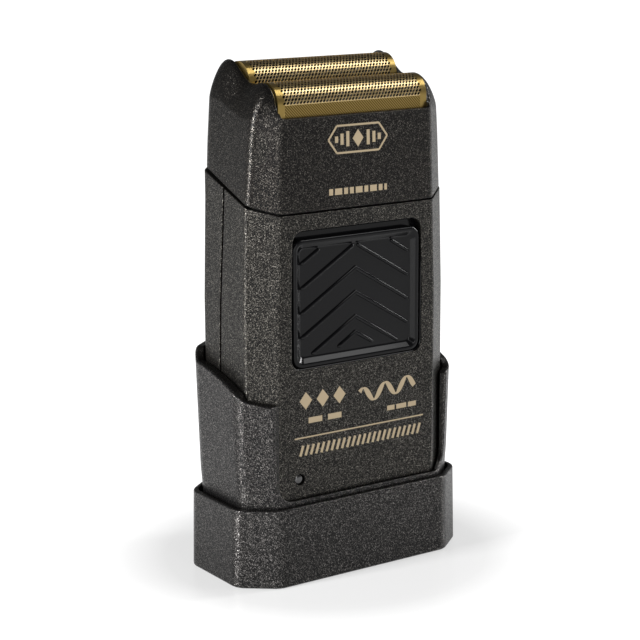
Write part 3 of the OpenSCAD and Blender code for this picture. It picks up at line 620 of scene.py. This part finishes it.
GOLD = gold("gold_front", FRONT_CREST - FOIL_R - 0.1)
GOLD_REAR = gold("gold_rear", REAR_CREST - FOIL_R - 0.1)
BOARD = bumped(material("circuit_board", (0.012, 0.11, 0.045), 0.0, 0.35), 1500.0, 0.15, 0.00003)
CHIP = bumped(material("board_parts", (0.02, 0.02, 0.022), 0.0, 0.45), 2600.0, 0.2, 0.00002)
WRAP_BLUE = bumped(material("battery_wrap", (0.02, 0.09, 0.33), 0.0, 0.3), 700.0, 0.12, 0.00006)
SWITCH = bumped(material("switch_metal", (0.62, 0.62, 0.60), 1.0, 0.35), 1800.0, 0.15, 0.00002)
WHITE_PLASTIC = bumped(material("white_plastic", (0.78, 0.77, 0.73), 0.0, 0.38), 2400.0, 0.15, 0.00003)
MAGNET = bumped(material("magnet", (0.09, 0.09, 0.095), 0.3, 0.5), 2600.0, 0.25, 0.00003)
COPPER = bumped(material("winding", (0.62, 0.28, 0.12), 0.9, 0.35), 3000.0, 0.35, 0.00004)
LENS = plastic("lens", (0.002, 0.002, 0.002), 0.05, 0.9, 400.0, 0.03, 0.00003)
PRINT = plastic("print_ink", (0.30, 0.238, 0.150), 0.40, 0.3, 5000.0, 0.3, 0.00002)

FINISHES = {
    "graphite": GRAPHITE, "dark_plastic": DARK_PLASTIC, "rubber": RUBBER, "steel": STEEL,
    "brass": BRASS, "circuit_board": BOARD, "board_parts": CHIP, "battery_wrap": WRAP_BLUE,
    "switch_metal": SWITCH, "gloss_black": GLOSS_BLACK, "white_plastic": WHITE_PLASTIC,
    "magnet": MAGNET, "winding": COPPER, "gold_foil": GOLD,
}

for row in frame["record"]["subparts"]:
    cad = frame["nodes"][row["node"]]
    cad.data.materials.clear()
    blades = row["node"].endswith("_blades")
    cad.data.materials.append(CUTTER_STEEL if blades else FINISHES[row["material_slot"]])
    edge = cad.modifiers.new("edge", "BEVEL")
    edge.width, edge.segments = 0.12 * MM, 2
    edge.limit_method, edge.angle_limit = "ANGLE", math.radians(50)


def dress(obj, body, finish, replaced=()):
    """Gives a finished piece its materials and its body, and hides the CAD nodes that it stands for."""
    for m in finish if isinstance(finish, list) else [finish]:
        obj.data.materials.append(m)
    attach(obj, body)
    if replaced:
        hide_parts(*replaced)
    return obj


# ---------------------------------------------------------------- stand


def ring_poly(start, length, low, high):
    """Flat outline of a ring: bottom edge, then the top edge backwards as (s, z) points."""
    return np.array([(start, low), (start + length, low)] + list(high))


base_wrap = Wrap(((BASE_FOOT_Z, BASE_SEC), (BASE_HIGH[2], BASE_TOP_SEC)), BASE_R)
start = -base_wrap.length / 4
end = start + base_wrap.length
poly = ring_poly(start, base_wrap.length, BASE_FOOT_Z, [(end, BASE_HIGH[2]), (start, BASE_HIGH[2])])
base = sheet("stand_base_shell", poly, BASE_WALL, 0.5, 0.2, fixed=(1, 3))
# The inner wall, rim top and hatch edges get the darker copy of the paint, as painted shade.
mark_painted_shade(base, 0.55)
hatch = rounded_rect(5.8, 2.0, 12.0, 1.2) + np.array([base_wrap.length / 2, 0])
cut(base, plug(hatch, BASE_WALL, 0.3, 0.2))
wrap_sheet(base, base_wrap, ends=(start, end))
dress(shade(base), "stand", [STAND_GRAPHITE, STAND_PAINTED_SHADE], ["stand_base"])

CRADLE_LOW_Z = CRADLE_LEVELS[0][0]
pocket_levels = ((0, POCKET_SEC), (61, POCKET_SEC))
cradle_wrap = Wrap(CRADLE_LEVELS, CRADLE_R, inner=pocket_levels, inner_r=BODY_R, wall=CRADLE_WALL)
half = cradle_wrap.length / 2


def cradle_edge(x):
    """Edge of the cradle's right half, from the rear along the rim and down the cut-out at x."""
    cut_s = cradle_wrap.s_at(0, x, 35)
    s = np.linspace(half, cut_s + 1.6, 90)
    line = list(zip(s, rim(cradle_wrap(s, 0, 52)[:, 1])))
    corner = len(line)
    line += [(cut_s, float(rim(cradle_wrap(cut_s, 0, 48)[0, 1]))), (cut_s, CUT_Z), (0, CUT_Z)]
    line = fillet(line, corner + 1, 5.5, 12)[:-1]
    return [tuple(p) for p in fillet(line, corner, 1.0, 6)]


left = [(-s, z) for s, z in reversed(cradle_edge(CUT_LEFT))]
poly = ring_poly(-half, cradle_wrap.length, CRADLE_LOW_Z, cradle_edge(CUT_RIGHT) + left)
cradle = sheet("stand_cradle_wall", poly, CRADLE_WALL, 0.45, 0.3, fixed=(1, len(poly) - 1))
# The inner wall, rim top and cut-out edges get the darker copy of the paint, as painted shade.
mark_painted_shade(cradle, 0.4)
wrap_sheet(cradle, cradle_wrap, levels=(20.5, 27, 35, 45, 55), ends=(-half, half))
dress(shade(cradle), "stand", [STAND_GRAPHITE, STAND_PAINTED_SHADE], ["stand_cradle"])

pocket = Wrap(pocket_levels, BODY_R)
outline = pocket(pocket.s, -0.35, 12)
floor = prism("stand_pocket_floor", outline, 2, CRADLE_LOW_Z, FLOOR_TOP_Z)
pin_r = (PIN_HIGH[1] - PIN_LOW[1]) / 2
for sign in (-1, 1):
    pin_hole = circle(sign * (PIN_HIGH[0] - pin_r), 0, pin_r + 0.3)
    cut(floor, prism("hole", pin_hole, 2, 5, 20))
    rest = rounded_rect(0.8, -8, 8, 0.75, 6) + np.array([sign * 20, 0])
    cut(floor, prism("rest", rest, 2, 13, SHELL_LOW[2] - 2.45), "UNION")
rescale(floor, MM)
# The pocket floor takes the darker copy of the paint, as painted shade in the recess.
dress(shade(floor), "stand", STAND_PAINTED_SHADE, ["stand_cradle"])

# ---------------------------------------------------------------- shells

body_wrap = Wrap(BODY_LEVELS, BODY_R)


def side_s(z, gap):
    """s of the joint between the shells on the right side at height z."""
    y = JOINT_Y + gap + JOINT_SLOPE * (z - JOINT_Z)
    s1, y1 = body_wrap.s[17], body_wrap(body_wrap.s[17], 0, 60)[0, 1]
    return s1 + (y - y1)


def seam_edge(s):
    """Top edge of the shells at the given places."""
    return seam(body_wrap(s, 0, 97)[:, 1]) - SEAM_GAP / 2


def joint_points(gap):
    """Bottom and top of the joint line on the right side. The top settles in a few rounds."""
    z = seam(JOINT_Y + gap)
    for _ in range(3):
        z = float(seam_edge(np.array([side_s(z, gap)]))[0])
    return (side_s(SHELL_LOW[2], gap), SHELL_LOW[2]), (side_s(z, gap), z)


low, high = joint_points(-JOINT_GAP)
s = np.linspace(high[0], -high[0], 161)[1:-1]
poly = [(-low[0], low[1]), low, high] + list(zip(s, seam_edge(s))) + [(-high[0], high[1])]
front_shell = sheet("front_shell_skin", poly, WALL, 0.2, 0.15)
cut(front_shell, plug(rounded_rect(*WINDOW), WALL, 0.3, 0.1))
cut(front_shell, plug(circle(*LED), WALL, 0.12, 0.1))
wrap_sheet(front_shell, body_wrap, levels=(JOINT_Z, 98))
dress(shade(front_shell), "shaver", GRAPHITE, ["front_shell"])

low, high = joint_points(JOINT_GAP)
around = body_wrap.length
s = np.linspace(around - high[0], high[0], 161)[1:-1]
poly = [low, (around - low[0], low[1]), (around - high[0], high[1])]
poly += list(zip(s, seam_edge(s))) + [high]
rear_shell = sheet("rear_shell_skin", poly, WALL, 0.2, 0.15)
front_low, front_high = joint_points(-JOINT_GAP)
tongue = [(front_low[0] + 0.03, low[1] + 0.5), (low[0] + 0.3, low[1] + 0.5),
          (high[0] + 0.3, high[1] - 0.5), (front_high[0] + 0.03, front_high[1] - 0.5)]
for strip in (tongue, [(around - s, z) for s, z in reversed(tongue)]):
    cut(rear_shell, rings("tongue", [flat_loop(strip, 0, d) for d in (0.9, 1.55)]), "UNION")
wrap_sheet(rear_shell, body_wrap, levels=(JOINT_Z, 98))
dress(shade(rear_shell), "shaver", GRAPHITE, ["rear_shell"])

# ---------------------------------------------------------------- switch recess and slider

inner_y = SHELL_LOW[1] + WALL


def rect_loop(inset, y):
    """Outline of the window, moved inwards, at a depth."""
    hw, z0, z1, r = WINDOW
    p = rounded_rect(hw - inset, z0 + inset, z1 - inset, max(r - inset, 0.5))
    return np.stack([p[:, 0], np.full(len(p), y), p[:, 1]], 1)


tray = rings("switch_tray", [
    rect_loop(-0.9, TRAY_Y + 1.2), rect_loop(-0.9, inner_y + 0.03), rect_loop(0.02, inner_y + 0.03),
    rect_loop(0.02, SHELL_LOW[1] + 0.5), rect_loop(0.12, SHELL_LOW[1] + 0.4),
    rect_loop(0.24, SHELL_LOW[1] + 0.5), rect_loop(0.24, TRAY_Y - 0.3), rect_loop(0.5, TRAY_Y),
], MM)
dress(shade(tray), "shaver", GLOSS_BLACK, ["front_shell"])

PAD_HW, PAD_R = SLIDER_HIGH[0] - 0.42, 2.7
PAD_LOW_Z, PAD_HIGH_Z = SLIDER_LOW[2], SLIDER_HIGH[2]
RIM_Y, BACK_Y = SLIDER_LOW[1], SLIDER_HIGH[1]
FLOOR_Y = RIM_Y + 1.2


def slider_loop(inset, y):
    """Outline of the slider, moved inwards, at a depth."""
    r = max(PAD_R - 0.6 * inset, 1.1)
    p = rounded_rect(PAD_HW - inset, PAD_LOW_Z + inset, PAD_HIGH_Z - inset, r, 10)
    return np.stack([p[:, 0], np.full(len(p), y), p[:, 1]], 1)


profile = [
    (0, BACK_Y), (0, RIM_Y + 0.5), (0.06, RIM_Y + 0.3), (0.2, RIM_Y + 0.1),
    (0.45, RIM_Y), (0.85, RIM_Y), (1.05, RIM_Y + 0.05), (1.25, RIM_Y + 0.18),
    (2.25, FLOOR_Y - 0.24), (2.5, FLOOR_Y - 0.08), (2.8, FLOOR_Y),
]
slider = rings("thumb_slider_body", [slider_loop(inset, y) for inset, y in profile], MM)


def rib(name, line, width, height):
    """Half-round rib along a line of (x, z) points on the slider's floor, with tapered ends."""
    line = np.array(line, float)
    step = np.diff(line, axis=0)
    length = np.linalg.norm(step, axis=1)
    unit = step / length[:, None]
    points, sizes, sides = [], [], []
    for i in range(len(line)):
        a, b = unit[max(i - 1, 0)], unit[min(i, len(unit) - 1)]
        n = np.array([-a[1] - b[1], a[0] + b[0]])
        n /= np.linalg.norm(n)
        n /= max(0.3, n @ np.array([-a[1], a[0]]))
        if i == 0:
            for t, k in ((0, 0.05), (0.15, 0.5), (0.4, 0.85)):
                points.append(line[0] + b * t)
                sizes.append(k)
                sides.append(n)
            points.append(line[0] + b * 0.8)
        elif i == len(line) - 1:
            points.append(line[-1] - a * 0.8)
            sizes.append(1)
            sides.append(n)
            for t, k in ((0.4, 0.85), (0.15, 0.5)):
                points.append(line[-1] - a * t)
                sizes.append(k)
                sides.append(n)
            points.append(line[-1])
            sizes.append(0.05)
            sides.append(n)
            break
        else:
            points.append(line[i])
        sizes.append(1)
        sides.append(n)
    w = np.linspace(0, math.pi, 9)
    loops = []
    for p, k, n in zip(points, sizes, sides):
        across = np.concatenate([[0.5], np.cos(w) / 2, [-0.5]]) * width * k
        up = np.concatenate([[-0.15], np.sin(w) ** 0.8 * height * k, [-0.15]])
        loops.append(np.stack([p[0] + n[0] * across, FLOOR_Y - up, p[1] + n[1] * across], 1))
    return rings(name, loops, MM)


CHEVRON_PITCH = 6.35
CHEVRON_SLOPE = math.tan(math.radians(31))
RIB_W, RIB_H = 1.0, 0.55
ribs = []
apex = PAD_HIGH_Z + 3.7
reach = PAD_HW - 2.75
low_z, high_z = PAD_LOW_Z + 3.0, PAD_HIGH_Z - 2.9
for i in range(6):
    z = apex - CHEVRON_PITCH * i if i < 5 else apex - CHEVRON_PITCH * 4 - 4.1
    far = min(reach, (z - low_z) / CHEVRON_SLOPE)
    if i == 5:
        far = min(far, 5.6)
    near = max(0.0, (z - high_z) / CHEVRON_SLOPE)
    if near > 0:
        for sign in (-1, 1):
            arm = [(sign * far, z - far * CHEVRON_SLOPE), (sign * near, z - near * CHEVRON_SLOPE)]
            ribs.append(rib(f"rib_{i}_{sign + 1}", arm, RIB_W, RIB_H))
    else:
        foot = z - far * CHEVRON_SLOPE
        ribs.append(rib(f"rib_{i}", [(-far, foot), (0, z), (far, foot)], RIB_W, RIB_H))


def joined(obj, others):
    """Adds the other meshes to obj."""
    bm = bmesh.new()
    bm.from_mesh(obj.data)
    for o in others:
        bm.from_mesh(o.data)
        bpy.data.objects.remove(o)
    bm.to_mesh(obj.data)
    bm.free()
    return obj


joined(slider, ribs)
dress(shade(slider, 40), "slider", GLOSS_BLACK, ["thumb_slider"])

# ---------------------------------------------------------------- status lens

lens_x, lens_z, lens_r = LED
loops = []
dome = [(math.cos(a), 0.75 - 0.45 * math.sin(a)) for a in np.radians((20, 40, 60, 80))]
for r, y in [(1.0, 1.9), (1.0, 0.75)] + dome:
    ring = circle(lens_x, lens_z, (lens_r - 0.08) * r)
    loops.append(np.stack([ring[:, 0], np.full(len(ring), SHELL_LOW[1] + y), ring[:, 1]], 1))
dress(shade(rings("status_lens", loops, MM), 50), "shaver", LENS, ["led_lens"])

# ---------------------------------------------------------------- head cover

head_wrap = Wrap(HEAD_LEVELS, HEAD_R, 8)
EAR_LINE = ear_line()
CORNER_FILLET = 1.2


def panel_edge(x, z):
    """Top edge of the front or rear panel, swept up into the ears."""
    t = np.clip(np.abs(x) - (EAR_X - CORNER_FILLET), 0, CORNER_FILLET)
    return z + CORNER_FILLET - np.sqrt(CORNER_FILLET ** 2 - t ** 2)


def head_columns():
    """s of the head's columns on the right half, close together where the ears turn."""
    s = np.linspace(0, head_wrap.length / 2, 6001)
    xy = head_wrap(s, 0, 118)
    y_in = inner_y_of(xy[:, 1])
    z = np.where(xy[:, 0] < EAR_X, PANEL_Z, np.interp(y_in, EAR_LINE[:, 0], EAR_LINE[:, 1]))
    path = np.abs(np.diff(s)) + np.abs(np.diff(z)) + 2 * np.abs(np.diff(np.minimum(xy[:, 0], EAR_X + 2)))
    total = np.concatenate([[0], np.cumsum(path)])
    return np.interp(np.linspace(0, total[-1], 171), total, s)


def inner_y_of(y):
    """Depth of the head opening's edge beside a place at depth y on the outer wall."""
    t = np.clip((np.abs(y) - 8) / 7.1, 0, 1) ** 2
    return np.clip(np.where(y < 0, y + 1.5 * t, y - 1.8 * t), LIP_Y, WELL_Y)


def head_cover():
    """Shell of the head: outer walls, rounded shoulders, ears round the foils, and the inner wall."""
    right = head_columns()
    s = np.concatenate([right, -right[-2:0:-1]])
    out = head_wrap(s, 0, 118)
    sign = np.where(s < 0, -1.0, 1.0)
    x_out = np.abs(out[:, 0])
    y_in = inner_y_of(out[:, 1])
    ear = x_out > EAR_X
    x_in = np.minimum(x_out, EAR_X)
    front = out[:, 1] < 0
    panel = np.where(front, panel_edge(x_in, PANEL_Z), panel_edge(x_in, REAR_PANEL_Z))
    h_in = np.where(ear, np.interp(y_in, EAR_LINE[:, 0], EAR_LINE[:, 1]), panel)
    h_in = np.maximum(h_in, panel)
    # the rounded shoulders start higher up towards the rear
    foot = 118.8 + 3.8 * smooth((out[:, 1] + 8) / 16) + 0.85 * smooth((out[:, 1] - 9) / 5)
    foot = np.minimum(foot, h_in - 0.5)
    power = 3.0 - 1.5 * smooth((h_in - foot - 0.5) / 4)
    turn = smooth((x_out - EAR_X + 0.9) / 2.4)
    angle = np.where(front, -np.pi / 2, np.pi / 2) * (1 - turn)
    ex, ey = np.cos(angle) * sign, np.sin(angle)
    r = 0.45
    low = seam(out[:, 1]) + SEAM_GAP / 2
    low = seam(head_wrap(s, 0, low)[:, 1]) + SEAM_GAP / 2
    loops = []

    def wall(d, z):
        """Adds a loop of the wall at a depth and heights."""
        p = head_wrap(s, d, z)
        loops.append(np.column_stack([p, np.broadcast_to(z, (len(s),))]))

    wall(WALL, low)
    wall(0.3, low)
    wall(0.09, low + 0.09)
    wall(0.0, low + 0.3)
    wall(0.0, (low + HEAD_MID_Z) / 2)
    wall(0.0, np.full(len(s), HEAD_MID_Z))
    wall(0.0, (foot + HEAD_MID_Z) / 2)
    for t in np.linspace(0, math.pi / 2, 19):
        u = max(math.cos(t), 0.0) ** (2 / power)
        v = math.sin(t) ** (2 / power)
        z = foot + (h_in - foot) * v
        p = head_wrap(s, 0, z)
        x = sign * x_in + ex * r + (p[:, 0] - sign * x_in - ex * r) * u
        y = y_in + ey * r + (p[:, 1] - y_in - ey * r) * u
        loops.append(np.column_stack([x, y, z]))
    lip = len(loops) - 1
    for t in np.radians([22.5, 45, 67.5, 90]):
        k = r * (1 - math.sin(t))
        z = h_in - r * (1 - math.cos(t))
        loops.append(np.column_stack([sign * x_in + ex * k, y_in + ey * k, z]))
    loops.append(np.column_stack([sign * x_in, y_in, np.full(len(s), LIP_Z)]))
    under = 0.5 * np.maximum(0, -ey)
    loops.append(np.column_stack([sign * x_in, y_in - under, np.full(len(s), LIP_Z)]))
    loops.append(np.column_stack([sign * x_in, y_in - under, np.full(len(s), CEILING_Z)]))
    wall(WALL, np.full(len(s), CEILING_Z - 0.1))
    loops = np.array(loops)
    faces = lattice(loops.shape[0], loops.shape[1], wrap_rows=True)
    obj = make("head_cover_skin", loops.reshape(-1, 3), faces, MM)
    for p in obj.data.polygons[lip * len(s):(lip + 4) * len(s)]:
        p.material_index = 1
    return tidy(obj, 2e-7)


dress(shade(head_cover(), 45), "head", [HEAD_GRAPHITE, HEAD_LIP], ["head_cover"])

# ---------------------------------------------------------------- printed ornaments


def bar(x0, z0, x1, z1, width):
    """Flat bar between two points."""
    a, b = np.array([x0, z0], float), np.array([x1, z1], float)
    n = np.array([-(b - a)[1], (b - a)[0]]) / np.linalg.norm(b - a) * width / 2
    return np.array([a - n, b - n, b + n, a + n])


def diamond(x, z, hw, hh):
    """Diamond about a place."""
    return np.array([(x, z - hh), (x + hw, z), (x, z + hh), (x - hw, z)])


def ribbon(points, widths):
    """Flat band of changing width along a line of points."""
    points, widths = np.array(points, float), np.array(widths, float)[:, None] / 2
    along = np.gradient(points, axis=0)
    n = np.stack([-along[:, 1], along[:, 0]], 1) / np.linalg.norm(along, axis=1)[:, None]
    return np.concatenate([points - n * widths, (points + n * widths)[::-1]])


def ornament(name, shapes, wrap, body, cad):
    """Thin layer of ink shapes, drawn flat and wrapped onto a piece's surface."""
    parts = [prism("ink", p, 1, -0.03, 0.03) for p in shapes]
    obj = joined(parts[0], parts[1:])
    obj.name = name
    wrap_sheet(obj, wrap)
    return dress(obj, body, PRINT, [cad])


EMBLEM_Z = 113.2
hexagon = [(-9.2, 0), (-6.6, -3.4), (6.6, -3.4), (9.2, 0), (6.6, 3.4), (-6.6, 3.4)]
hexagon = [(x, EMBLEM_Z + z) for x, z in hexagon]
emblem = [bar(*p, *q, 0.5) for p, q in zip(hexagon, hexagon[1:] + hexagon[:1])]
emblem.append(diamond(0, EMBLEM_Z, 1.7, 2.2))
emblem += [bar(sign * x, EMBLEM_Z - h, sign * x, EMBLEM_Z + h, 0.95)
           for sign in (-1, 1) for x, h in ((3.2, 1.9), (5.0, 1.4), (6.7, 0.8))]
dashes = [bar(x, 100.15, x + w, 100.15, 1.6) for x, w in zip(
    (-9, -7.2, -4.4, -2.6, -0.8, 1.9, 3.7, 6.4, 8.2), (1.2, 2.2, 1.2, 1.2, 2.1, 1.2, 2.1, 1.2, 0.8))]
ornament("emblem_ink", emblem + dashes, head_wrap, "head", "head_cover")

gems = [diamond(x, 47.6, 1.9, 2.3) for x in (-16.4, -11.2, -6.0)]
gems += [bar(-15.6, 42.3, -11.4, 42.3, 1.5), bar(-9.6, 42.3, -5.4, 42.3, 1.5)]
t = np.linspace(0, 1, 49)
flourish = np.stack([0.4 + 17.6 * t, 46.2 + 1.9 * np.sin(2 * math.pi * (2.5 * t + 0.1)) + 1.4 * t], 1)
gems.append(ribbon(flourish, 0.35 + 1.1 * np.abs(np.cos(2 * math.pi * (2.5 * t + 0.1)))))
gems += [bar(x, 41.6, x + w, 41.6, 1.3) for x, w in ((9.2, 2.4), (12.2, 3.2), (16.0, 2.6))]
gems.append(bar(-19.9, 38.0, 21.0, 38.0, 0.36))
gems += [bar(x, 33.2, x + 0.9, 35.9, 0.75) for x in np.arange(-18.2, 19.6, 1.62)]
ornament("front_ink", gems, body_wrap, "shaver", "front_shell")

# ---------------------------------------------------------------- foils

HOLE_SHAPE = ((-0.55, -1), (0, -1), (0.55, -1), (1, 0), (0.55, 1), (0, 1), (-0.55, 1), (-1, 0))


def foil(name, y0, crest, finish, cad):
    """Thin arched foil: rows of holes over the arch, folded plain ends and finely grooved skirts."""
    pitch, hole_w, hole_h = 1.0, 0.82, 0.70
    slant = 0.19
    zc = crest - FOIL_R
    plain = 1.5
    x_right = EAR_X - 0.12
    x_left = -x_right
    n = int(round(2 * (x_right - plain) / pitch))
    pitch = 2 * (x_right - plain) / (n + 0.5)
    arch = math.pi * FOIL_R
    rows = 20
    row_h = arch / rows
    t = 0.15
    verts, faces = [], []
    index = {}

    def place(x, a, d):
        """Point at arclength a from the crest, front negative, d below the outer face."""
        r = FOIL_R - d
        if abs(a) <= arch / 2:
            w = a / FOIL_R
            return (x, y0 + r * math.sin(w), zc + r * math.cos(w))
        return (x, y0 + math.copysign(r, a), zc - (abs(a) - arch / 2))

    def vert(x, a, d):
        """Number of the vertex at a place."""
        key = (round(x, 5), round(a, 5), d)
        if key not in index:
            index[key] = len(verts)
            verts.append(place(x, a, d))
        return index[key]

    def both(ring):
        """A face on the outer side, and its twin inside."""
        faces.append([vert(x, a, 0) for x, a in ring])
        faces.append([vert(x, a, t) for x, a in reversed(ring)])

    def wall(p, q):
        """A face through the thickness, between two places."""
        faces.append([vert(*p, 0), vert(*p, t), vert(*q, t), vert(*q, 0)])

    depth = zc - SKIRT_Z
    for j in range(rows):
        a0 = -arch / 2 + j * row_h
        a1, am = a0 + row_h, a0 + row_h / 2
        shift = pitch / 2 * (j % 2)
        x0 = x_left + plain + shift
        for i in range(n):
            xa = x0 + i * pitch
            xb, xm = xa + pitch, xa + pitch / 2
            cell = [(xa, a0), (xm, a0), (xb, a0), (xb, am), (xb, a1), (xm, a1), (xa, a1), (xa, am)]
            hole = [(xm + u * hole_w / 2 + v * slant, am + v * hole_h / 2) for u, v in HOLE_SHAPE]
            for k in range(8):
                m = (k + 1) % 8
                both([cell[k], cell[m], hole[m], hole[k]])
                wall(hole[m], hole[k])
        for lo, hi in ((x_left, x0), (x0 + n * pitch, x_right)):
            for p, q in ((a0, am), (am, a1)):
                both([(lo, p), (hi, p), (hi, q), (lo, q)])
        for x in (x_left, x_right):
            for p, q in ((a0, am), (am, a1)):
                if x < 0:
                    wall((x, q), (x, p))
                else:
                    wall((x, p), (x, q))
    marks = [x_left + plain + shift + (i - half) * pitch
             for shift in (0, pitch / 2) for i in range(n + 1) for half in (0, 0.5)]
    marks = {round(v, 5) for v in marks if x_left + plain - 1e-6 <= v <= x_right - plain + 1e-6}
    edge_x = sorted(marks | {x_left, x_right})
    for sgn in (-1, 1):
        a0, a1 = sgn * arch / 2, sgn * (arch / 2 + depth)
        for xa, xb in zip(edge_x[:-1], edge_x[1:]):
            ring = [(xa, a1), (xb, a1), (xb, a0), (xa, a0)]
            both(ring if sgn < 0 else ring[::-1])
            wall(*((xb, a1), (xa, a1)) if sgn > 0 else ((xa, a1), (xb, a1)))
        wall(*((x_left, a0), (x_left, a1)) if sgn < 0 else ((x_left, a1), (x_left, a0)))
        wall(*((x_right, a1), (x_right, a0)) if sgn < 0 else ((x_right, a0), (x_right, a1)))
    obj = tidy(make(name, verts, faces, MM), 1e-7)
    w = np.linspace(-math.pi / 2, math.pi / 2, 41)
    arc = np.stack([np.sin(w), np.cos(w)], 1)
    flange = np.concatenate([arc * (FOIL_R - t / 2), arc[::-1] * (FOIL_R - 2.2)]) + np.array([y0, zc])
    for sign in (-1, 1):
        joined(obj, [prism("flange", flange, 0, sign * (x_right - 0.12), sign * (x_right - 0.01), MM)])
    return dress(shade(obj, 40), "head", finish, [cad])


foil("front_foil_mesh", FRONT_Y, FRONT_CREST, GOLD, "front_foil")
foil("rear_foil_mesh", REAR_Y, REAR_CREST, GOLD_REAR, "rear_foil")

# ---------------------------------------------------------------- camera, light and floor

scene = bpy.context.scene
scene.view_settings.view_transform = "Standard"
scene.view_settings.look = "None"

CAMERA = Vector((-272.42, -395.62, 171.65)) * MM
LOOK = Vector((0.55117, 0.80505, -0.21932)).normalized()
ROLL = math.radians(-0.28)
right = LOOK.cross(Vector((0, 0, 1))).normalized()
up = right.cross(LOOK)
r2 = right * math.cos(ROLL) + up * math.sin(ROLL)
u2 = up * math.cos(ROLL) - right * math.sin(ROLL)
cam = bpy.data.cameras.new("camera")
cam.lens, cam.sensor_width = 105.4, 36.0
cam_obj = bpy.data.objects.new("camera", cam)
scene.collection.objects.link(cam_obj)
cam_obj.matrix_world = Matrix.Translation(CAMERA) @ Matrix((r2, u2, -LOOK)).transposed().to_4x4()
scene.camera = cam_obj


def softbox(name, direction, distance, width, height, power, target=(0, 0, 70)):
    """Area light that faces the target, in millimetres."""
    lamp = bpy.data.lights.new(name, "AREA")
    lamp.shape, lamp.size, lamp.size_y = "RECTANGLE", width * MM, height * MM
    lamp.energy = power
    obj = bpy.data.objects.new(name, lamp)
    scene.collection.objects.link(obj)
    d = Vector(direction).normalized()
    obj.location = (Vector(target) + d * distance) * MM
    obj.rotation_mode = "QUATERNION"
    obj.rotation_quaternion = d.to_track_quat("Z", "Y")


softbox("left_strip", (-0.985, 0.06, 0.28), 700, 110, 500, 10.0)
softbox("left_front", (-0.62, -0.76, 0.14), 800, 240, 380, 1.8)
softbox("front_strip", (-0.06, -0.97, 0.22), 800, 120, 420, 1.0)
softbox("right_strip", (0.90, -0.28, 0.36), 640, 80, 380, 3.2)
softbox("top_right", (0.50, -0.34, 0.78), 650, 220, 260, 1.2)

world = bpy.data.worlds.new("studio")
scene.world = world
world.use_nodes = True
tree = world.node_tree
back = tree.nodes["Background"]
coords = tree.nodes.new("ShaderNodeTexCoord")
split = tree.nodes.new("ShaderNodeSeparateXYZ")
tree.links.new(coords.outputs["Generated"], split.inputs[0])
fade = tree.nodes.new("ShaderNodeValToRGB")
SKY = ((0.0, 0.46), (0.12, 0.30), (0.3, 0.24), (0.6, 0.15), (1.0, 0.12))
while len(fade.color_ramp.elements) < len(SKY):
    fade.color_ramp.elements.new(0.5)
for e, (p, v) in zip(fade.color_ramp.elements, SKY):
    e.position, e.color = p, (v, v, v, 1)
tree.links.new(split.outputs["Z"], fade.inputs["Fac"])
tree.links.new(fade.outputs["Color"], back.inputs["Color"])
back.inputs["Strength"].default_value = 1.0

paper = material("studio_floor", (0.30, 0.30, 0.30), 0.0, 0.25, Emission_Color=(1, 1, 1, 1))
place = node(paper, "ShaderNodeTexCoord")
reach = node(paper, "ShaderNodeVectorMath", operation="LENGTH")
link(paper, place, "Object", reach, 0)
# The floor glows as a white backdrop farther out. Its glow drops near the stand, as a painted shadow and
# reflection round the foot.
GLOW_AND_PAINTED_SHADOW = ((0.042, 0.50), (0.062, 0.82), (0.085, 0.96), (0.13, 1.0))
glow_and_painted_shadow = ramp(paper, [(metres, (v,) * 3) for metres, v in GLOW_AND_PAINTED_SHADOW])
link(paper, reach, "Value", glow_and_painted_shadow, "Fac")
link(paper, glow_and_painted_shadow, "Color", paper.node_tree.nodes["Principled BSDF"], "Emission Strength")
FLOOR_HW = 9000
corners = [(x * FLOOR_HW, y * FLOOR_HW, 0) for x, y in ((-1, -1), (1, -1), (1, 1), (-1, 1))]
ground = make("studio_floor", corners, [(0, 1, 2, 3)], MM)
ground.data.materials.append(paper)
